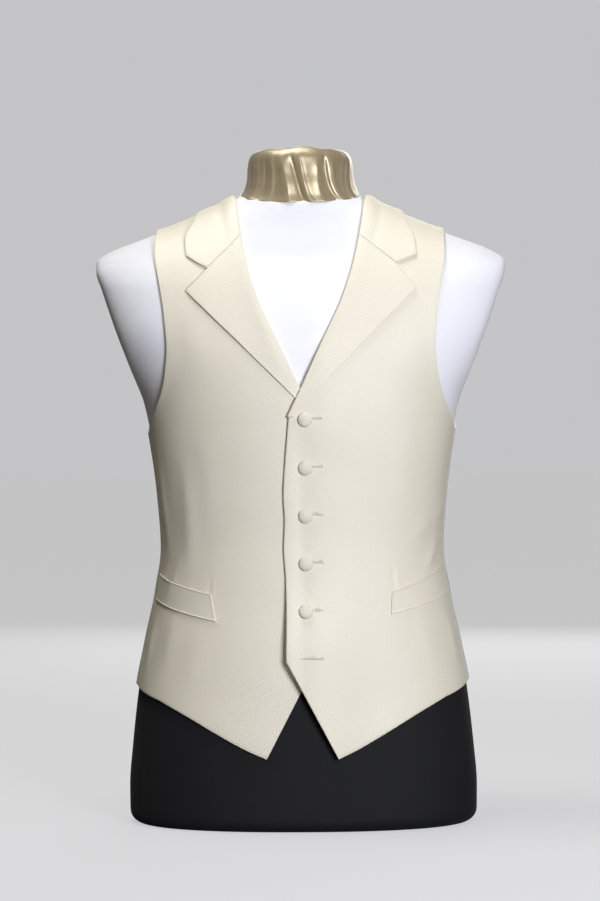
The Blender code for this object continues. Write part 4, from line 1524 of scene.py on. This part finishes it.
class WAISTCOAT_OT_form_torso(Operator):
    """Make the form's white jersey torso"""

    bl_idname = "waistcoat.form_torso"
    bl_label = "Form torso"

    TRUNK_ROWS = 96
    SHOULDER_ROWS = 60
    SHOULDER_START = 590.0
    CROWDING = 0.7

    def execute(self, context):
        angles = form_angles()
        start = WAIST_SEAM_HEIGHT + SEAM_GAP / 2
        rows = []
        for height in np.linspace(start, self.SHOULDER_START, self.TRUNK_ROWS):
            rows.append(ring(angles, height, COVER_TUCK * fade(height, start, start + COVER_TUCK_REACH)))
        seam = neck_seam(angles) - SEAM_GAP / 2
        for share in np.linspace(0, 1, self.SHOULDER_ROWS + 1)[1:] ** self.CROWDING:
            rows.append(ring(angles, self.SHOULDER_START + share * (seam - self.SHOULDER_START)))
        jersey = thread_material(
            "white_torso_jersey", context.scene.waistcoat.form.jersey, period=1.1 * MM, contrast=0.08,
            relief=0.10 * MM, roughness=0.85, sheen=0.15, specular=0.2,
        )
        stands_for(add_cover("torso_cover", rows, jersey), "form_torso")
        return {"FINISHED"}


class WAISTCOAT_OT_form_neck(Operator):
    """Make the form's neck, covered in gathered satin"""

    bl_idname = "waistcoat.form_neck"
    bl_label = "Form neck"

    SIDES = 384
    ROWS = 40
    EDGE = 14.0
    EDGE_STEPS = 16
    HOLLOW = 2.5
    OVER_TURN = 0.25
    GATHER_FADE = (0.78, 1.16)
    LEAST_GATHER = 0.12
    STEEPER, FLATTER, POWER = 0.65, 1.25, 1.8
    SINK = 1.2

    def execute(self, context):
        angles = form_angles(self.SIDES)
        foot = neck_seam(angles) + SEAM_GAP / 2
        bend = FORM_TOP - self.EDGE
        rows = []
        for share in np.linspace(0, 1, self.ROWS):
            height = foot + share * (bend - foot)
            rows.append(self.gathered(angles, ring(angles, height), share))
        wave = sum(self.rise(angles, *bump) for bump in NECK_RIM)
        for turn in np.linspace(0, math.pi / 2, self.EDGE_STEPS + 1)[1:]:
            over = math.sin(turn)
            height = bend + self.EDGE * over + wave * over**2 - self.HOLLOW * (1 - math.cos(turn)) ** 3
            points = ring(angles, height, self.EDGE * (1 - math.cos(turn)))
            rows.append(self.gathered(angles, points, 1 + self.OVER_TURN * turn))
        satin = thread_material(
            "gold_neck_satin", context.scene.waistcoat.form.gold, period=0.7 * MM, contrast=0.25,
            relief=0.03 * MM, roughness=0.36, sheen=0.3, specular=1.0, metallic=0.45,
        )
        stands_for(add_cover("neck_cover", rows, satin), "form_neck")
        return {"FINISHED"}

    def rise(self, angles, middle, width, height):
        return height * bell(degrees_from(angles, middle), width)

    def gathered(self, angles, points, share):
        """The ring with its gathers, which shift round as they run down and fade over the top."""
        out = 0 * angles
        for gather in NECK_GATHERS:
            apart = degrees_from(angles, gather.foot + (gather.top - gather.foot) * min(share, 1))
            steep = np.where(apart > 0, self.STEEPER, self.FLATTER) * gather.width
            out = out + gather.depth * np.exp(-np.abs(apart / steep) ** self.POWER)
        out *= self.LEAST_GATHER + (1 - self.LEAST_GATHER) * fade(share, *self.GATHER_FADE)
        away = points - points.mean(axis=0)
        away[:, 2] = 0
        away /= np.linalg.norm(away, axis=-1, keepdims=True)
        return points + away * (out - self.SINK)[:, None]


class WAISTCOAT_OT_stage(Operator):
    """Make the plain round floor, the soft lights and the camera"""

    bl_idname = "waistcoat.stage"
    bl_label = "Stage"

    FLOOR_RADIUS = 40.0
    VIEW_TURN = 0.5
    VIEW_ROLL = -0.32
    VIEW_SHIFT = -0.0018
    VIEW_HEIGHT = 0.4055
    LENS = 109.0
    AIM = Vector((0, 0, 0.42))
    Lamp = namedtuple("Lamp", "place size colour")
    LAMPS = {
        "key": Lamp((0.72, -1.85, 0.6), (0.6, 0.7), (0.965, 0.99, 1.085)),
        "fill": Lamp((-2.6, -2.2, 1.0), (1.6, 1.6), (1.0, 0.93, 0.85)),
        "top": Lamp((-0.38, -0.2, 2.2), (1.0, 0.8), (0.99, 0.99, 0.98)),
        "back": Lamp((0.5, 2.9, 1.3), (2.2, 1.4), (1.0, 1.0, 1.0)),
    }
    AIR_COLOUR = (1.0, 0.82, 0.58, 1)

    def execute(self, context):
        studio = context.scene.waistcoat.studio
        self.add_floor(studio)
        self.add_air(context, studio)
        for name, lamp in self.LAMPS.items():
            self.add_light(f"{name}_light", lamp, getattr(studio, f"{name}_power"))
        context.scene.view_settings.view_transform = "Standard"
        self.add_camera(context, studio.distance)
        return {"FINISHED"}

    def add_floor(self, studio):
        """A wide flat disc. It is pale to look at, and gives little light back to the object."""
        bm = bmesh.new()
        bmesh.ops.create_circle(bm, cap_ends=True, segments=96, radius=self.FLOOR_RADIUS)
        floor = add_object("floor", bm)
        material = bpy.data.materials.new("plain_floor")
        material.use_nodes = True
        tree = material.node_tree
        shader = tree.nodes["Principled BSDF"]
        shader.inputs["Roughness"].default_value = 1.0
        shader.inputs["Specular IOR Level"].default_value = 0.0
        seen = tree.nodes.new("ShaderNodeLightPath").outputs["Is Camera Ray"]
        dim = (*[c * studio.bounce for c in studio.floor], 1)
        shown = (*[c * studio.answer for c in studio.floor], 1)
        tree.links.new(add_mix(tree, seen, dim, shown), shader.inputs["Base Color"])
        shader.inputs["Emission Color"].default_value = (*studio.floor, 1)
        tree.links.new(add_math(tree, "MULTIPLY", seen, studio.glow), shader.inputs["Emission Strength"])
        floor.data.materials.append(material)

    def add_air(self, context, studio):
        """Even light from all round, and a background as pale as the far floor."""
        world = bpy.data.worlds.new("studio_air")
        world.use_nodes = True
        tree = world.node_tree
        background = tree.nodes["Background"]
        seen = tree.nodes.new("ShaderNodeLightPath").outputs["Is Camera Ray"]
        far = [c * (studio.glow + studio.ambient * studio.answer) for c in studio.floor]
        tree.links.new(add_mix(tree, seen, self.AIR_COLOUR, (*far, 1)), background.inputs["Color"])
        strength = add_math(tree, "MULTIPLY_ADD", seen, 1 - studio.ambient, studio.ambient)
        tree.links.new(strength, background.inputs["Strength"])
        context.scene.world = world

    def add_light(self, name, lamp, power):
        """A soft rectangular light that faces the object."""
        data = bpy.data.lights.new(name, "AREA")
        data.shape = "RECTANGLE"
        data.size, data.size_y = lamp.size
        data.energy = power
        data.color = lamp.colour
        light = bpy.data.objects.new(name, data)
        light.location = lamp.place
        light.rotation_euler = (light.location - self.AIM).to_track_quat("Z", "Y").to_euler()
        light.visible_camera = False
        bpy.context.scene.collection.objects.link(light)

    def add_camera(self, context, distance):
        """The camera, level and almost square to the front."""
        turn = math.radians(self.VIEW_TURN)
        data = bpy.data.cameras.new("camera")
        data.lens = self.LENS
        data.sensor_width = 36
        camera = bpy.data.objects.new("camera", data)
        location = Vector(
            (distance * math.sin(turn) + self.VIEW_SHIFT, -distance * math.cos(turn), self.VIEW_HEIGHT)
        )
        roll = Matrix.Rotation(math.radians(self.VIEW_ROLL), 4, "Z")
        level = Matrix.Rotation(math.pi / 2, 4, "X")
        camera.matrix_world = Matrix.Translation(location) @ Matrix.Rotation(turn, 4, "Z") @ level @ roll
        context.scene.collection.objects.link(camera)
        context.scene.camera = camera


OPERATORS = (
    WAISTCOAT_OT_form_base,
    WAISTCOAT_OT_form_torso,
    WAISTCOAT_OT_form_neck,
    WAISTCOAT_OT_fronts,
    WAISTCOAT_OT_backs,
    WAISTCOAT_OT_lapels,
    WAISTCOAT_OT_collars,
    WAISTCOAT_OT_welts,
    WAISTCOAT_OT_buttons,
    WAISTCOAT_OT_buttonholes,
    WAISTCOAT_OT_stage,
)


class WAISTCOAT_PT_pieces(Panel):
    """The pieces of the waistcoat and its stage"""

    bl_label = "Waistcoat"
    bl_idname = "WAISTCOAT_PT_pieces"
    bl_space_type = "VIEW_3D"
    bl_region_type = "UI"
    bl_category = "Waistcoat"

    def draw(self, context):
        settings = context.scene.waistcoat
        for part in (settings.cloth, settings.buttons, settings.form, settings.studio):
            box = self.layout.box()
            for name in part.__annotations__:
                box.prop(part, name)
        for operator in OPERATORS:
            self.layout.operator(operator.bl_idname)


CLASSES = (
    ClothSettings,
    ButtonSettings,
    FormSettings,
    StudioSettings,
    WaistcoatSettings,
    *OPERATORS,
    WAISTCOAT_PT_pieces,
)


def register():
    for cls in CLASSES:
        bpy.utils.register_class(cls)
    bpy.types.Scene.waistcoat = PointerProperty(type=WaistcoatSettings)


def unregister():
    del bpy.types.Scene.waistcoat
    for cls in reversed(CLASSES):
        bpy.utils.unregister_class(cls)


def main():
    register()
    bpy.ops.waistcoat.form_base()
    bpy.ops.waistcoat.form_torso()
    bpy.ops.waistcoat.form_neck()
    bpy.ops.waistcoat.fronts()
    bpy.ops.waistcoat.backs()
    bpy.ops.waistcoat.lapels()
    bpy.ops.waistcoat.collars()
    bpy.ops.waistcoat.welts()
    bpy.ops.waistcoat.buttons()
    bpy.ops.waistcoat.buttonholes()
    bpy.ops.waistcoat.stage()


if __name__ == "__main__":
    main()
